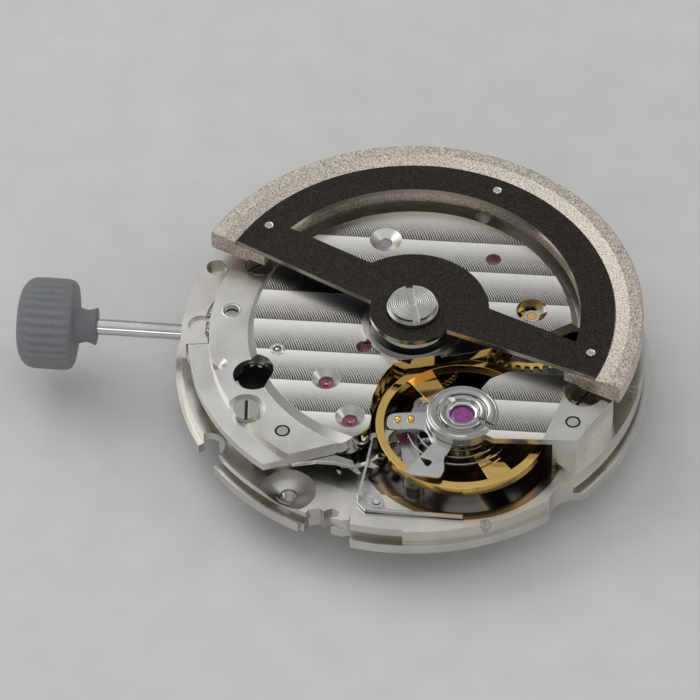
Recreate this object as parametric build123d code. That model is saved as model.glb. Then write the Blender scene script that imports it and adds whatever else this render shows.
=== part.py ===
from build123d import *
import math
import os

# A self-winding watch movement, lying dial side down.
# The origin is where the centre axis meets the dial seat. +Z points to the rotor,
# and the stem leaves towards -X.
# Lengths are in millimetres. Names ending in deg, count, turns or share are not lengths.

# Clearances
fit_gap = 0.02
run_gap = 0.04
side_gap = 0.06
wheel_gap = 0.1
overrun = 0.3

# Main plate
flange_r = 13.0
flange_z = 0.6
plate_r = 12.65
groove_depth = 0.35
groove_r = plate_r - groove_depth
groove_z = 1.0
floor_z = 1.3
ledge_z = 2.5
land_z = 2.9
land_w = 1.49
land_start_deg = 140
land_end_deg = 192
land_gap_deg = 0.6
cut_over_deg = 1
pocket_r = 10.3
apron_z = 1.55
apron_start_deg = 259
apron_end_deg = 318
apron_block_start_deg = 272.6
apron_block_w = 0.5
apron_block_r = groove_r + apron_block_w
apron_well_r = 5.1
front_ledge_z = 1.35
front_ledge_w = 1.65
front_ledge_in_r = flange_r - front_ledge_w
front_ledge_mid_deg = 226
right_ledge_z = 2.0
right_ledge_end_deg = 350
rim_chamfer = 0.08

# Dial side of the plate
works_r = 8.7
works_z = 0.9
ring_seat_r = 11.06
ring_seat_z = 0.5
keyless_rim_w = 0.39
keyless_z = 0.85
keyless_start_deg = 176
keyless_end_deg = 214
keyless_in_r = 8.5
guard_post_r = 0.55
guard_post_at_r = 8.05
guard_post_degs = (100, 235, 330)

# Notches and holes in the edge of the plate
left_notch_at = (-10.35, -7.44)
left_notch_r = 0.87
left_notch_deg = 200
right_notch_at = (9.6, -9.84)
right_notch_r = 1.4
jagged_notch = (
    (-5.1, -13.6), (-5.1, -11.75), (-4.75, -11.95), (-4.55, -11.5), (-3.95, -11.35),
    (-3.75, -11.55), (-3.3, -11.3), (-2.9, -11.5), (-2.95, -11.85), (-3.35, -11.95),
    (-2.75, -12.1), (-2.25, -12.0), (-2.2, -13.6),
)
clamp_at_r = 11.76
clamp_deg = 240.7
clamp_hole_r = 0.4
clamp_mouth_r = 0.48
clamp_mouth_z = 0.9
clamp_sink_r = 1.48
foot_at_r = 12.35
foot_deg = 280
foot_hole_r = 0.38
foot_hole_z = 0.5
apron_screw_at = (4.95, -11.95)
land_hole_at = (-11.23, 4.26)
land_hole_r = 0.56
land_hole_depth = 0.5
scallop_at = (-11.6, -0.1)
scallop_r = 0.7
scallop_depth = 0.2

# Train bridge
bridge_edge_w = 0.25
bridge_r = plate_r - bridge_edge_w
shelf_edge_w = 0.15
shelf_r = bridge_r - shelf_edge_w
shelf_z = 3.0
plain_z = 3.35
striped_z = 3.8
striped_r = 8.65
striped_foot_r = 9.0
recess_z = 3.05
bridge_start_deg = 8
bridge_step_deg = 146
shelf_start_deg = 188
shelf_end_deg = 234.5
shelf_over_deg = 10
bridge_corner = (-6.2, -9.6)
lobe_start = (-3.3, -8.42)
lobe_mid = (-2.0, -7.95)
lobe_end = (-1.73, -6.39)
bay_edge = ((-1.68, -5.23), (-1.38, -4.03), (-1.11, -3.39), (-0.73, -2.8))
bay_top = ((0.51, -2.52), (3.26, -1.71), (4.5, -1.2), (7.1, 0.0), (8.6, 1.0))
boss_r = 2.75
boss_in_r = 2.35
boss_z = 4.0
bay_lip_z = 3.25

# Holes that show in the bridge
plain_hole_at = (-10.0, 0.67)
plain_hole_r = 0.42
dimple_at = (-10.3, -3.28)
dimple_r = 0.5
dimple_depth = 0.25
large_hole_at = (-8.3, -3.9)
large_hole_r = 1.1
bushed_hole_at = (-7.15, -2.35)
bushed_hole_r = 0.2
sink_r = 0.8
sink_depth = 0.35
arbor_sink_r = 0.9
arbor_sink_depth = 0.3
arbor_hole_r = 0.33
auto_hole_r = 0.85
auto_web_w = 0.4
auto_web_deg = 40
edge_hole_at = (3.1, 8.9)
edge_hole_r = 0.45

# Slotted screws
head_r = 0.72
head_h = 0.32
head_slot = 0.16
head_slot_depth = 0.14
bright_slot_deg = 40
slotted_slot_deg = 95
far_slot_deg = 20
cock_slot_deg = 60
shank_r = 0.3
shank_end_z = 1.6
counterbore_r = 1.05
bright_screw_at = (-8.85, 4.17)
slotted_screw_at = (-8.4, -6.4)
far_screw_at = (8.1, 7.0)
pillar_r = 0.62
wall_pillar_r = 1.15
steady_pin_r = 0.3
steady_ring_r = 0.42
steady_ring_depth = 0.1
steady_pin_at = (-6.3, -7.8)
steady_seat_z = 1.8
small_head_r = 0.3
small_head_h = 0.14
small_slot = 0.08
pallet_slot_deg = 30
apron_slot_deg = 100
guard_slot_deg = 45
small_shank_r = 0.14
small_shank_h = 0.45

# Jewels
jewel_r = 0.42
jewel_h = 0.3
jewel_hole_r = 0.09
pivot_r = 0.07
pivot_h = 0.28

# Going train
tip_share = 0.7
root_share = 0.95
barrel_at = (-2.05, 6.35)
barrel_tooth_count = 75
barrel_z = 1.56
barrel_tooth_h = 0.24
barrel_top_z = 2.7
drum_r = 5.3
drum_wall = 0.12
drum_floor = 0.1
cover_h = 0.1
barrel_arbor_r = 0.85
barrel_bearing_r = 0.45
spring_in_r = 3.6
centre_pinion_count = 15
centre_wheel_count = 64
centre_wheel_z = 1.36
centre_wheel_h = 0.14
centre_pinion_top_z = 1.86
centre_tube_r = 0.29
centre_bore_r = 0.14
centre_tube_z = -0.4
centre_tube_top_z = 2.0
third_at_r = 3.052
third_at_deg = 215
third_pinion_count = 8
third_pinion_top_z = 1.54
third_wheel_count = 75
third_wheel_z = 2.2
third_wheel_h = 0.14
fourth_from_third_deg = 233.8
train_pinion_count = 10
train_pinion_z = 2.16
train_pinion_h = 0.22
fourth_wheel_count = 84
fourth_wheel_z = 2.5
fourth_wheel_h = 0.12
escape_at = (-2.75, -6.85)
escape_pinion_count = 7
escape_pinion_z = 2.46
escape_pinion_h = 0.22
arbor_r = 0.14
hub_r = 0.42
spoke_w = 0.34
rim_w = 0.4
seconds_tip_z = -2.05
seconds_arbor_r = 0.085
seconds_top_z = 3.25
seconds_pivot_r = 0.12

# Escapement and balance
escape_tooth_count = 15
escape_r = 2.55
escape_tooth_h = 0.5
escape_z = 1.9
escape_h = 0.12
pallet_at = (0.35, -6.9)
fork_z = 1.86
fork_h = 0.14
fork_w = 0.26
fork_end_w = 0.5
fork_slot_w = 0.26
fork_slot_l = 0.22
stone_lift_deg = 30
stone_w = 0.2
stone_l = 0.5
stone_gap = 0.2
pallet_bridge_z = 2.2
pallet_bridge_top_z = 2.42
pallet_bridge_w = 0.95
pallet_foot_r = 0.55
pallet_feet = ((0.9, -9.35), (1.0, -4.45))
balance_at = (3.2, -6.1)
balance_r = 4.65
balance_rim_w = 0.45
balance_z = 2.46
balance_top_z = 3.0
balance_arm_h = 0.18
balance_arm_w = 0.75
balance_arm_end_w = 1.5
balance_arm_deg = 126
balance_hub_r = 0.65
balance_well_r = 4.85
staff_r = 0.22
staff_z = 1.16
staff_top_z = 3.5
roller_r = 0.9
roller_z = 2.14
roller_h = 0.14
safety_roller_r = 0.45
impulse_r = 0.07
impulse_at_r = 0.75
hairspring_z = 2.84
hairspring_h = 0.1
hairspring_w = 0.06
hairspring_turns = 5
hairspring_in_r = 0.5
hairspring_pitch = 0.5
least_spring_gap = 0.4
collet_r = 0.4
collet_z = 2.82
collet_h = 0.2

# Balance cock, regulator and stud carrier
cock_z = 3.4
cock_top_z = 3.8
cock_r = 1.95
cock_body = (
    (4.1, -4.2), (4.5, -3.5), (5.45, -2.88), (8.6, -2.9), (10.4, -3.2), (11.2, -4.45),
    (10.75, -5.2), (10.0, -6.45), (9.45, -7.5), (5.0, -7.75), (4.3, -7.4),
)
cock_foot_x = 8.15
cock_screw_sink = 0.4
cock_boss_r = 1.15
cock_boss_z = 3.04
shock_bore_r = 0.93
shock_block_z = 3.12
shock_block_top_z = 3.72
shock_wall = 0.17
cap_jewel_r = 0.7
cap_jewel_h = 0.14
cap_jewel_z = 3.5
lyre_w = 0.1
lyre_half_deg = 150
lyre_h = 0.06
lower_shock_z = 0.94
lower_shock_h = 0.32
ring_in_r = 1.2
ring_out_r = 1.8
carrier_z = 3.08
carrier_h = 0.13
carrier_deg = 190
carrier_l = 4.25
carrier_w = 1.0
carrier_pins_share = (0.72, 0.9)
carrier_pin_r = 0.2
carrier_pin_h = 0.22
stud_r = 0.14
regulator_z = 3.24
regulator_h = 0.13
regulator_deg = 244
regulator_l = 4.7
regulator_w = 0.7
regulator_pad_w = 1.5
regulator_pad_l = 1.5
regulator_hole_r = 0.3
curb_pin_r = 0.05
cock_screw_at = (9.6, -4.0)
cock_pin_at = (9.15, -6.2)

# Barrel top works and crown wheel
ratchet_tooth_count = 66
ratchet_module = 0.1607
ratchet_z = 2.8
ratchet_h = 0.18
crown_wheel_count = 40
crown_wheel_x = -8.0
crown_stud_r = 0.55
idler_count = 10
auto_wheel_count = 44
idler_deg = -9.5
auto_wheel_deg = -56.6
reverser_pinion_count = 6
rotor_gear_count = 42
reverser_count = 24
rotor_gear_z = 4.06
rotor_gear_h = 0.16
click_at = (-3.95, -0.2)
click_r = 0.34
click_beak_l = 1.5
click_deg = 50
click_spring_w = 0.09
click_spring_deg = 290
click_recess_r = 1.85

# Keyless works
stem_z = 2.1
stem_r = 0.45
stem_end_x = -7.0
stem_square = 0.5
stem_out_x = -17.6
stem_groove_x = -11.55
stem_groove_w = 0.3
stem_groove_r = 0.28
clutch_bore_gap = 0.03
winding_pinion_x = -11.3
winding_pinion_l = 0.95
keyless_pinion_r = 0.6
keyless_tooth_count = 12
sliding_pinion_x = -9.3
sliding_pinion_l = 1.75
sliding_groove_w = 0.4
sliding_groove_r = 0.47
lever_z = 0.56
lever_h = 0.22
setting_pivot_at = (-11.7, -2.5)
setting_pin_y = -0.62
setting_pin_r = 0.12
setting_pivot_r = 0.2
setting_lever_w = 0.5
yoke_pivot_at = (-8.05, -3.2)
yoke_pin_y = -0.7
pull_travel = 0.8
clutch_travel = 0.6

# Motion works and date
minute_at_r = 2.8
minute_at_deg = 150
cannon_count = 12
minute_count = 36
minute_pinion_count = 10
hour_count = 40
cannon_z = 0.74
motion_h = 0.12
cannon_r = 0.597
cannon_seat_r = 0.445
cannon_seat_z = -0.93
cannon_tip_z = -1.55
hour_z = 0.58
hour_pipe_r = 0.75
hour_tip_z = -0.9
setting_wheel_count = 24
setting_wheel_deg = 197
setting_wheel_top_z = 1.38
setting_floor_z = 1.12
setting_upper_h = 0.2
date_line_deg = 20
date_intermediate_count = 40
date_pinion_count = 15
date_driver_count = 30
date_driver_z = 0.42
post_hole_r = 0.25
finger_z = 0.18
finger_h = 0.16
finger_w = 0.4
ring_z = 0.14
ring_h = 0.25
ring_r = 11.0
ring_in_side_r = 9.5
ring_tooth_r = 9.08
ring_tooth_count = 31
guard_r = 9.6
guard_h = 0.1
guard_hole_r = 1.45
jumper_at = (-0.9, -6.6)
jumper_nose_gap = 0.08
jumper_w = 0.36

# Hack lever
hack_pivot_at = (-0.95, -11.05)
hack_ring_r = 0.4
hack_z = 1.61
hack_h = 0.2
hack_w = 0.14
hack_top = (-1.55, -7.45)
hack_low_x = -1.85
hack_nub_r = 0.08
hack_nub_z = 2.8
hack_pin_r = 0.18
hack_bend = (-1.4, -11.55)
hack_end = (3.7, -11.6)
hack_blade_low_z = 2.16
hack_blade_z = 2.44

# Rotor
base_deg = 157.5
rotor_z = 4.8
rotor_top_z = 5.1
rotor_plate_r = 10.95
base_drop = 0.47
base_rise = 0.11
window_r = 9.1
window_hub_r = 4.15
window_left = (-2.59, 3.28)
window_left_corner = (-6.81, 5.31)
window_right = (3.83, 0.57)
window_right_corner = (8.28, -1.3)
hub_out_r = 2.35
weight_z = 3.95
weight_r = 12.5
weight_in_r = 10.2
weight_lip_r = 9.18
weight_lip_z = 4.1
bevel_in_r = 11.0
bevel_out_r = 11.75
bevel_z = 5.03
weight_top_z = 5.15
rivet_r = 0.25
rivet_at_r = 10.1
rivet_from_base_degs = (-11, -90, -171)
rivet_head_h = 0.08
race_r = 2.1
race_in_r = 1.5
race_z = 4.22
core_r = 1.1
core_top_z = 5.0
ball_r = 0.19
ball_count = 5
rotor_screw_r = 1.28
rotor_screw_z = 5.36
rotor_screw_top_z = 5.67
rotor_step_r = 1.4
rotor_slot_w = 0.4
rotor_slot_depth = 0.24
rotor_slot_deg = 104
rotor_shank_r = 0.45
rotor_shank_z = 3.5

# Crown
crown_in_x = -18.53
crown_out_x = -21.66
crown_r = 2.52
crown_rib_count = 30
crown_rib_depth = 0.13
rib_foot_share = 0.3
rib_tip_share = 0.18
crown_chamfer = 0.45
neck_x = -17.38
neck_r = 1.05
neck_waist_r = 0.88

centre = (0.0, 0.0)


def polar(at, r, deg):
    return (at[0] + r * math.cos(math.radians(deg)), at[1] + r * math.sin(math.radians(deg)))


def distance(a, b):
    return math.hypot(b[0] - a[0], b[1] - a[1])


def heading(a, b):
    return math.degrees(math.atan2(b[1] - a[1], b[0] - a[0]))


def disc(at, r, z0, z1):
    return Pos(at[0], at[1], z0) * Cylinder(r, z1 - z0, align=(Align.CENTER, Align.CENTER, Align.MIN))


def ring(at, r, r_in, z0, z1):
    return disc(at, r, z0, z1) - disc(at, r_in, z0, z1)


def cone(at, r0, r1, z0, z1):
    return Pos(at[0], at[1], z0) * Cone(r0, r1, z1 - z0, align=(Align.CENTER, Align.CENTER, Align.MIN))


def prism(points, z0, z1):
    return Pos(0, 0, z0) * extrude(make_face(Polyline(*points, close=True)), z1 - z0)


def face_prism(face, z0, z1):
    return Pos(0, 0, z0) * extrude(face, z1 - z0)


def bar(a, b, w, z0, z1, w_end=None):
    turn = heading(a, b)
    half = w / 2
    half_end = half if w_end is None else w_end / 2
    corners = (
        polar(a, half, turn + 90), polar(a, half, turn - 90),
        polar(b, half_end, turn - 90), polar(b, half_end, turn + 90),
    )
    return prism(corners, z0, z1)


def link(a, b, r, w, z0, z1):
    return disc(a, r, z0, z1) + bar(a, b, w, z0, z1)


def wedge(r, start_deg, end_deg, z0, z1):
    span = end_deg - start_deg
    reach = 2 * r
    steps = max(1, math.ceil(span / 60))
    edge = [polar(centre, reach, start_deg + span * i / steps) for i in range(steps + 1)]
    return prism([centre] + edge, z0, z1)


def sector(r, r_in, start_deg, end_deg, z0, z1):
    return ring(centre, r, r_in, z0, z1) & wedge(r, start_deg, end_deg, z0, z1)


def x_rod(x0, x1, r, z):
    return Pos(x0, 0, z) * Rot(0, 90, 0) * Cylinder(r, x1 - x0, align=(Align.CENTER, Align.CENTER, Align.MIN))


def mesh_phase(count, phase, at, next_count, next_at):
    turn = heading(at, next_at)
    return turn + 180 - count / next_count * (phase - turn) - 180 / next_count


def pitch_radius(span, count, other_count):
    return span * count / (count + other_count)


def toothed(at, count, pitch_r, z0, z1, phase):
    module = 2 * pitch_r / count
    tip_r = pitch_r + tip_share * module
    root_r = pitch_r - root_share * module
    points = []
    for i in range(count):
        turn = phase + 360 * i / count
        points.append(polar(at, tip_r, turn))
        points.append(polar(at, root_r, turn + 180 / count))
    return prism(points, z0, z1)


# Share of a tooth's angle at the half widths of its tip and of its root
leaf_tip_share = 0.11
leaf_root_share = 0.27


def leaved(at, count, pitch_r, z0, z1, phase):
    module = 2 * pitch_r / count
    tip_r = pitch_r + tip_share * module
    root_r = pitch_r - root_share * module
    step = 360 / count
    points = []
    for i in range(count):
        turn = phase + step * i
        points.append(polar(at, root_r, turn - leaf_root_share * step))
        points.append(polar(at, tip_r, turn - leaf_tip_share * step))
        points.append(polar(at, tip_r, turn + leaf_tip_share * step))
        points.append(polar(at, root_r, turn + leaf_root_share * step))
    return prism(points, z0, z1)


def saw_toothed(at, count, pitch_r, z0, z1, phase):
    module = 2 * pitch_r / count
    tip_r = pitch_r + tip_share * module
    root_r = pitch_r - root_share * module
    points = []
    for i in range(count):
        turn = phase + 360 * i / count
        points.append(polar(at, root_r, turn - saw_share * 360 / count))
        points.append(polar(at, tip_r, turn))
    return prism(points, z0, z1)


saw_share = 0.25


def spoked(wheel, at, rim_in_r, spoke_count, turn_deg, z0, z1, waist=None):
    in_r = hub_r if waist is None else waist
    opening = ring(at, rim_in_r, in_r, z0, z1)
    for i in range(spoke_count):
        opening -= bar(at, polar(at, 2 * rim_in_r, turn_deg + 360 * i / spoke_count), spoke_w, z0, z1)
    return wheel - opening


def screw(at, head_base_z, r, h, slot_w, slot_depth, rod_r, rod_end_z, slot_deg):
    top_z = head_base_z + h
    body = disc(at, r, head_base_z, top_z) + disc(at, rod_r, rod_end_z, head_base_z)
    ends = (polar(at, 2 * r, slot_deg), polar(at, -2 * r, slot_deg))
    slot = bar(ends[0], ends[1], slot_w, top_z - slot_depth, top_z + overrun)
    return body - slot


def jewel(at, z0, z1, oil_cup_up):
    stone = ring(at, jewel_r, jewel_hole_r, z0, z1)
    cup_r = (jewel_r + jewel_hole_r) / 2
    cup_h = (z1 - z0) / 3
    if oil_cup_up:
        return stone - cone(at, jewel_hole_r, cup_r, z1 - cup_h, z1)
    return stone - cone(at, cup_r, jewel_hole_r, z0, z0 + cup_h)


def pivoted(at, z0, z1):
    return disc(at, arbor_r, z0 + pivot_h, z1 - pivot_h) + disc(at, pivot_r, z0, z1)


land_r = plate_r - land_w
bridge_left_r = land_r - side_gap
keyless_r = distance(centre, setting_pivot_at) + setting_lever_w / 2 + keyless_rim_w
third_at = polar(centre, third_at_r, third_at_deg)
fourth_at = polar(third_at, third_at_r, fourth_from_third_deg)
minute_at = polar(centre, minute_at_r, minute_at_deg)
barrel_span = distance(barrel_at, centre)
escape_span = distance(fourth_at, escape_at)

ratchet_r = ratchet_module * ratchet_tooth_count / 2
crown_wheel_r = ratchet_module * crown_wheel_count / 2
idler_r = ratchet_module * idler_count / 2
auto_wheel_r = ratchet_module * auto_wheel_count / 2
reverser_pinion_r = ratchet_module * reverser_pinion_count / 2
crown_span = ratchet_r + crown_wheel_r
crown_rise = math.sqrt(crown_span ** 2 - (crown_wheel_x - barrel_at[0]) ** 2)
crown_wheel_at = (crown_wheel_x, barrel_at[1] - crown_rise)
idler_at = polar(barrel_at, ratchet_r + idler_r, idler_deg)
auto_wheel_at = polar(idler_at, idler_r + auto_wheel_r, auto_wheel_deg)
reverser_from_centre = distance(auto_wheel_at, centre) - auto_wheel_r - reverser_pinion_r
reverser_at = polar(centre, reverser_from_centre, heading(centre, auto_wheel_at))
tooth_room = 2 * tip_share * ratchet_module / 2 + wheel_gap

cannon_pitch_r = pitch_radius(minute_at_r, cannon_count, minute_count)
minute_pitch_r = pitch_radius(minute_at_r, minute_count, cannon_count)
minute_pinion_r = pitch_radius(minute_at_r, minute_pinion_count, hour_count)
hour_pitch_r = pitch_radius(minute_at_r, hour_count, minute_pinion_count)
setting_wheel_r = minute_pitch_r * setting_wheel_count / minute_count
setting_wheel_at = polar(minute_at, minute_pitch_r + setting_wheel_r, setting_wheel_deg)
date_intermediate_r = hour_pitch_r * date_intermediate_count / hour_count
date_intermediate_at = polar(centre, hour_pitch_r + date_intermediate_r, date_line_deg)
date_pinion_r = date_intermediate_r * date_pinion_count / date_intermediate_count
date_driver_r = date_pinion_r * date_driver_count / date_pinion_count
date_driver_at = polar(date_intermediate_at, date_pinion_r + date_driver_r, date_line_deg)
lower_jewel_z = floor_z - jewel_h
upper_jewel_z = plain_z - jewel_h
arbor_low_z = lower_jewel_z + fit_gap
arbor_high_z = plain_z - fit_gap
train_ats = (third_at, fourth_at, escape_at)
clamp_ats = tuple(polar(centre, clamp_at_r, clamp_deg + 180 * i) for i in range(2))
foot_ats = tuple(polar(centre, foot_at_r, foot_deg + 180 * i) for i in range(2))
guard_post_ats = tuple(polar(centre, guard_post_at_r, deg) for deg in guard_post_degs)


def main_plate():
    plate = disc(centre, flange_r, 0, flange_z)
    plate += disc(centre, groove_r, flange_z, groove_z)
    plate += disc(centre, plate_r, groove_z, ledge_z)
    plate += left_land()
    plate += sector(plate_r, groove_r - fit_gap, keyless_start_deg, keyless_end_deg, flange_z, groove_z)
    high_z = land_z + overrun
    plate -= sector(flange_r, front_ledge_in_r, land_end_deg, front_ledge_mid_deg, front_ledge_z, high_z)
    plate -= sector(flange_r, pocket_r - overrun, front_ledge_mid_deg, apron_start_deg, front_ledge_z, high_z)
    plate -= sector(flange_r, pocket_r - overrun, apron_start_deg, apron_end_deg, apron_z, high_z)
    plate -= sector(flange_r, pocket_r - overrun, apron_end_deg, right_ledge_end_deg, right_ledge_z, high_z)
    block_in_r = groove_r - fit_gap
    plate += sector(apron_block_r, block_in_r, apron_block_start_deg, apron_end_deg, flange_z, apron_z)
    plate -= disc(centre, pocket_r, floor_z, land_z)
    plate -= disc(barrel_at, barrel_tip_r() + wheel_gap, floor_z, land_z)
    plate -= disc(balance_at, apron_well_r, floor_z, land_z)
    plate -= disc(escape_at, escape_r + wheel_gap, floor_z, land_z)
    plate -= disc(fourth_at, fourth_tip_r() + wheel_gap, floor_z, land_z)
    plate += cock_land()
    plate += disc(bright_screw_at, pillar_r, floor_z, ledge_z)
    plate += disc(far_screw_at, wall_pillar_r, floor_z, ledge_z)
    plate += disc(slotted_screw_at, wall_pillar_r, floor_z, ledge_z) & disc(centre, plate_r, floor_z, ledge_z)
    plate += disc(steady_pin_at, pillar_r, floor_z, ledge_z)
    for foot in pallet_feet:
        plate += disc(foot, pallet_foot_r, floor_z, pallet_bridge_z)
    plate += disc(hack_pivot_at, hack_ring_r, floor_z, hack_z - fit_gap)
    plate += disc(hack_pivot_at, hack_pin_r, hack_z - fit_gap, hack_z + hack_h + side_gap)
    plate -= dial_side_recesses()
    for post in guard_post_ats:
        plate += disc(post, guard_post_r, guard_h, works_z)
    plate -= edge_notches()
    plate -= plate_holes()
    plate -= keyless_windows()
    return plate


def left_land():
    land = sector(plate_r, land_r, land_start_deg, land_end_deg, ledge_z, land_z)
    start_deg = land_start_deg - cut_over_deg
    end_deg = land_end_deg + cut_over_deg
    step_deg = bridge_step_deg + land_gap_deg
    land -= sector(bridge_r + wheel_gap, pocket_r, start_deg, step_deg, ledge_z, land_z)
    shelf_deg = shelf_start_deg - land_gap_deg
    return land - sector(shelf_r + wheel_gap, pocket_r, shelf_deg, end_deg, ledge_z, land_z)


def barrel_tip_r():
    pitch_r = pitch_radius(barrel_span, barrel_tooth_count, centre_pinion_count)
    return pitch_r * (1 + 2 * tip_share / barrel_tooth_count)


def cock_land():
    corners = (
        (cock_foot_x, cock_body[8][1]), (plate_r, cock_body[8][1]),
        (plate_r, cock_body[3][1]), (cock_foot_x, cock_body[3][1]),
    )
    land = prism(corners, floor_z, right_ledge_z) & disc(centre, plate_r, floor_z, right_ledge_z)
    return land - disc(balance_at, apron_well_r, floor_z, right_ledge_z)


def dial_side_recesses():
    cut = disc(centre, works_r, -overrun, works_z)
    cut += ring(centre, ring_seat_r, works_r - overrun, -overrun, ring_seat_z)
    cut += sector(keyless_r, keyless_in_r, keyless_start_deg, keyless_end_deg, -overrun, keyless_z)
    return cut


def edge_notches():
    high_z = land_z + overrun
    cut = disc(left_notch_at, left_notch_r, -overrun, high_z)
    cut += bar(left_notch_at, polar(left_notch_at, flange_r, left_notch_deg), left_notch_r, -overrun, high_z)
    cut += disc(right_notch_at, right_notch_r, -overrun, high_z)
    cut += prism(jagged_notch, -overrun, high_z)
    return cut


def plate_holes():
    high_z = land_z + overrun
    cut = disc(centre, centre_tube_r + side_gap, works_z - overrun, floor_z + overrun)
    for at in train_ats + (pallet_at,):
        cut += disc(at, jewel_r, works_z - overrun, floor_z + overrun)
    cut += disc(balance_at, shock_bore_r, works_z - overrun, floor_z + overrun)
    cut += disc(barrel_at, barrel_bearing_r + fit_gap, works_z + side_gap, floor_z + overrun)
    for at in (minute_at, date_intermediate_at, date_driver_at):
        cut += disc(at, post_hole_r, works_z - overrun, floor_z - side_gap)
    for at in clamp_ats:
        cut += disc(at, clamp_hole_r, -overrun, clamp_mouth_z)
        cut += cone(at, clamp_mouth_r, clamp_sink_r, clamp_mouth_z, front_ledge_z)
        cut += disc(at, clamp_sink_r, front_ledge_z, high_z)
    for at in foot_ats:
        cut += disc(at, foot_hole_r, -overrun, foot_hole_z)
    for at in (bright_screw_at, slotted_screw_at, far_screw_at, cock_screw_at):
        cut += disc(at, shank_r + fit_gap, shank_end_z - side_gap, high_z)
    for at in (steady_pin_at, cock_pin_at):
        cut += disc(at, steady_pin_r, steady_seat_z, high_z)
    for at in pallet_feet:
        cut += disc(at, small_shank_r + fit_gap, pallet_bridge_z - small_shank_h, high_z)
    for at in guard_post_ats:
        cut += disc(at, small_shank_r + fit_gap, -overrun, guard_h + small_shank_h + fit_gap)
    cut += disc(apron_screw_at, small_shank_r + fit_gap, apron_z - small_shank_h, high_z)
    cut += disc(land_hole_at, land_hole_r, land_z - land_hole_depth, high_z)
    cut += disc(scallop_at, scallop_r, land_z - scallop_depth, high_z)
    return cut


def keyless_windows():
    high_z = land_z + overrun
    room = keyless_pinion_tip_r() + wheel_gap
    cut = x_rod(stem_out_x, winding_pinion_x, stem_r + run_gap, stem_z)
    x0 = winding_pinion_x - run_gap
    cut += prism(((x0, -room), (-pocket_r, -room), (-pocket_r, room), (x0, room)), stem_z - room, high_z)
    cut += disc(crown_wheel_at, crown_wheel_r + tooth_room, ratchet_z - wheel_gap, high_z)
    pin_room = setting_pin_r + wheel_gap
    x1 = stem_groove_x + pin_room
    x0 = stem_groove_x - pull_travel - pin_room
    y0 = setting_pin_y - pin_room
    y1 = setting_pin_y + pin_room
    cut += prism(((x0, y0), (x1, y0), (x1, y1), (x0, y1)), lever_z, stem_z + wheel_gap)
    x0 = sliding_groove_x() - pin_room
    x1 = sliding_groove_x() + clutch_travel + pin_room
    y0 = yoke_pin_y - pin_room
    y1 = yoke_pin_y + pin_room
    cut += prism(((x0, y0), (x1, y0), (x1, y1), (x0, y1)), lever_z, floor_z + overrun)
    cut += disc(setting_wheel_at, setting_wheel_r + wheel_gap + side_gap, setting_floor_z, floor_z + overrun)
    cut += disc(setting_wheel_at, hub_r + run_gap, lever_z, floor_z + overrun)
    cut += disc(setting_pivot_at, setting_pivot_r, keyless_z - overrun, groove_z + wheel_gap + side_gap)
    cut += disc(yoke_pivot_at, shank_r, works_z - overrun, floor_z - side_gap)
    return cut


def keyless_pinion_tip_r():
    return keyless_pinion_r * (1 + 2 * tip_share / keyless_tooth_count)


def sliding_groove_x():
    return sliding_pinion_x + sliding_pinion_l / 2


def bridge_outline():
    start = polar(centre, bridge_r, bridge_start_deg)
    far_mid = polar(centre, bridge_r, (bridge_start_deg + bridge_step_deg) / 2)
    far_end = polar(centre, bridge_r, bridge_step_deg)
    left_start = polar(centre, bridge_left_r, bridge_step_deg)
    left_mid = polar(centre, bridge_left_r, (bridge_step_deg + shelf_start_deg) / 2)
    left_end = polar(centre, bridge_left_r, shelf_start_deg)
    shelf_start = polar(centre, shelf_r, shelf_start_deg)
    shelf_mid = polar(centre, shelf_r, (shelf_start_deg + shelf_end_deg) / 2)
    shelf_end = polar(centre, shelf_r, shelf_end_deg)
    edges = [
        ThreePointArc(start, far_mid, far_end),
        Line(far_end, left_start),
        ThreePointArc(left_start, left_mid, left_end),
        Line(left_end, shelf_start),
        ThreePointArc(shelf_start, shelf_mid, shelf_end),
        Line(shelf_end, bridge_corner),
        Line(bridge_corner, lobe_start),
        ThreePointArc(lobe_start, lobe_mid, lobe_end),
    ]
    corners = (lobe_end,) + bay_edge + bay_top + (start,)
    for i in range(len(corners) - 1):
        edges.append(Line(corners[i], corners[i + 1]))
    return make_face(Wire(edges))


def bridge_recesses():
    cut = disc(barrel_at, drum_r + wheel_gap, ledge_z - overrun, recess_z)
    cut += disc(barrel_at, ratchet_r + tooth_room, ledge_z - overrun, recess_z)
    cut += disc(crown_wheel_at, crown_wheel_r + tooth_room, ledge_z - overrun, recess_z)
    cut += disc(fourth_at, fourth_tip_r() + wheel_gap, ledge_z - overrun, recess_z)
    cut += disc(idler_at, idler_r + tooth_room, ledge_z - overrun, recess_z)
    cut += disc(auto_wheel_at, auto_wheel_r + tooth_room, ledge_z - overrun, recess_z)
    cut += disc(reverser_at, reverser_pinion_r + tooth_room, ledge_z - overrun, recess_z)
    cut += disc(escape_at, hub_r + wheel_gap, ledge_z - overrun, recess_z)
    cut += disc(third_at, hub_r + wheel_gap, ledge_z - overrun, recess_z)
    cut += disc(centre, hub_r + wheel_gap, ledge_z - overrun, recess_z)
    cut += disc(click_at, click_recess_r, ledge_z - overrun, recess_z)
    cut -= disc(bright_screw_at, pillar_r, ledge_z - overrun, recess_z)
    cut += disc(balance_at, balance_well_r, ledge_z - overrun, bay_lip_z)
    return cut


def fourth_tip_r():
    pitch_r = pitch_radius(escape_span, fourth_wheel_count, escape_pinion_count)
    return pitch_r * (1 + 2 * tip_share / fourth_wheel_count)


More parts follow.
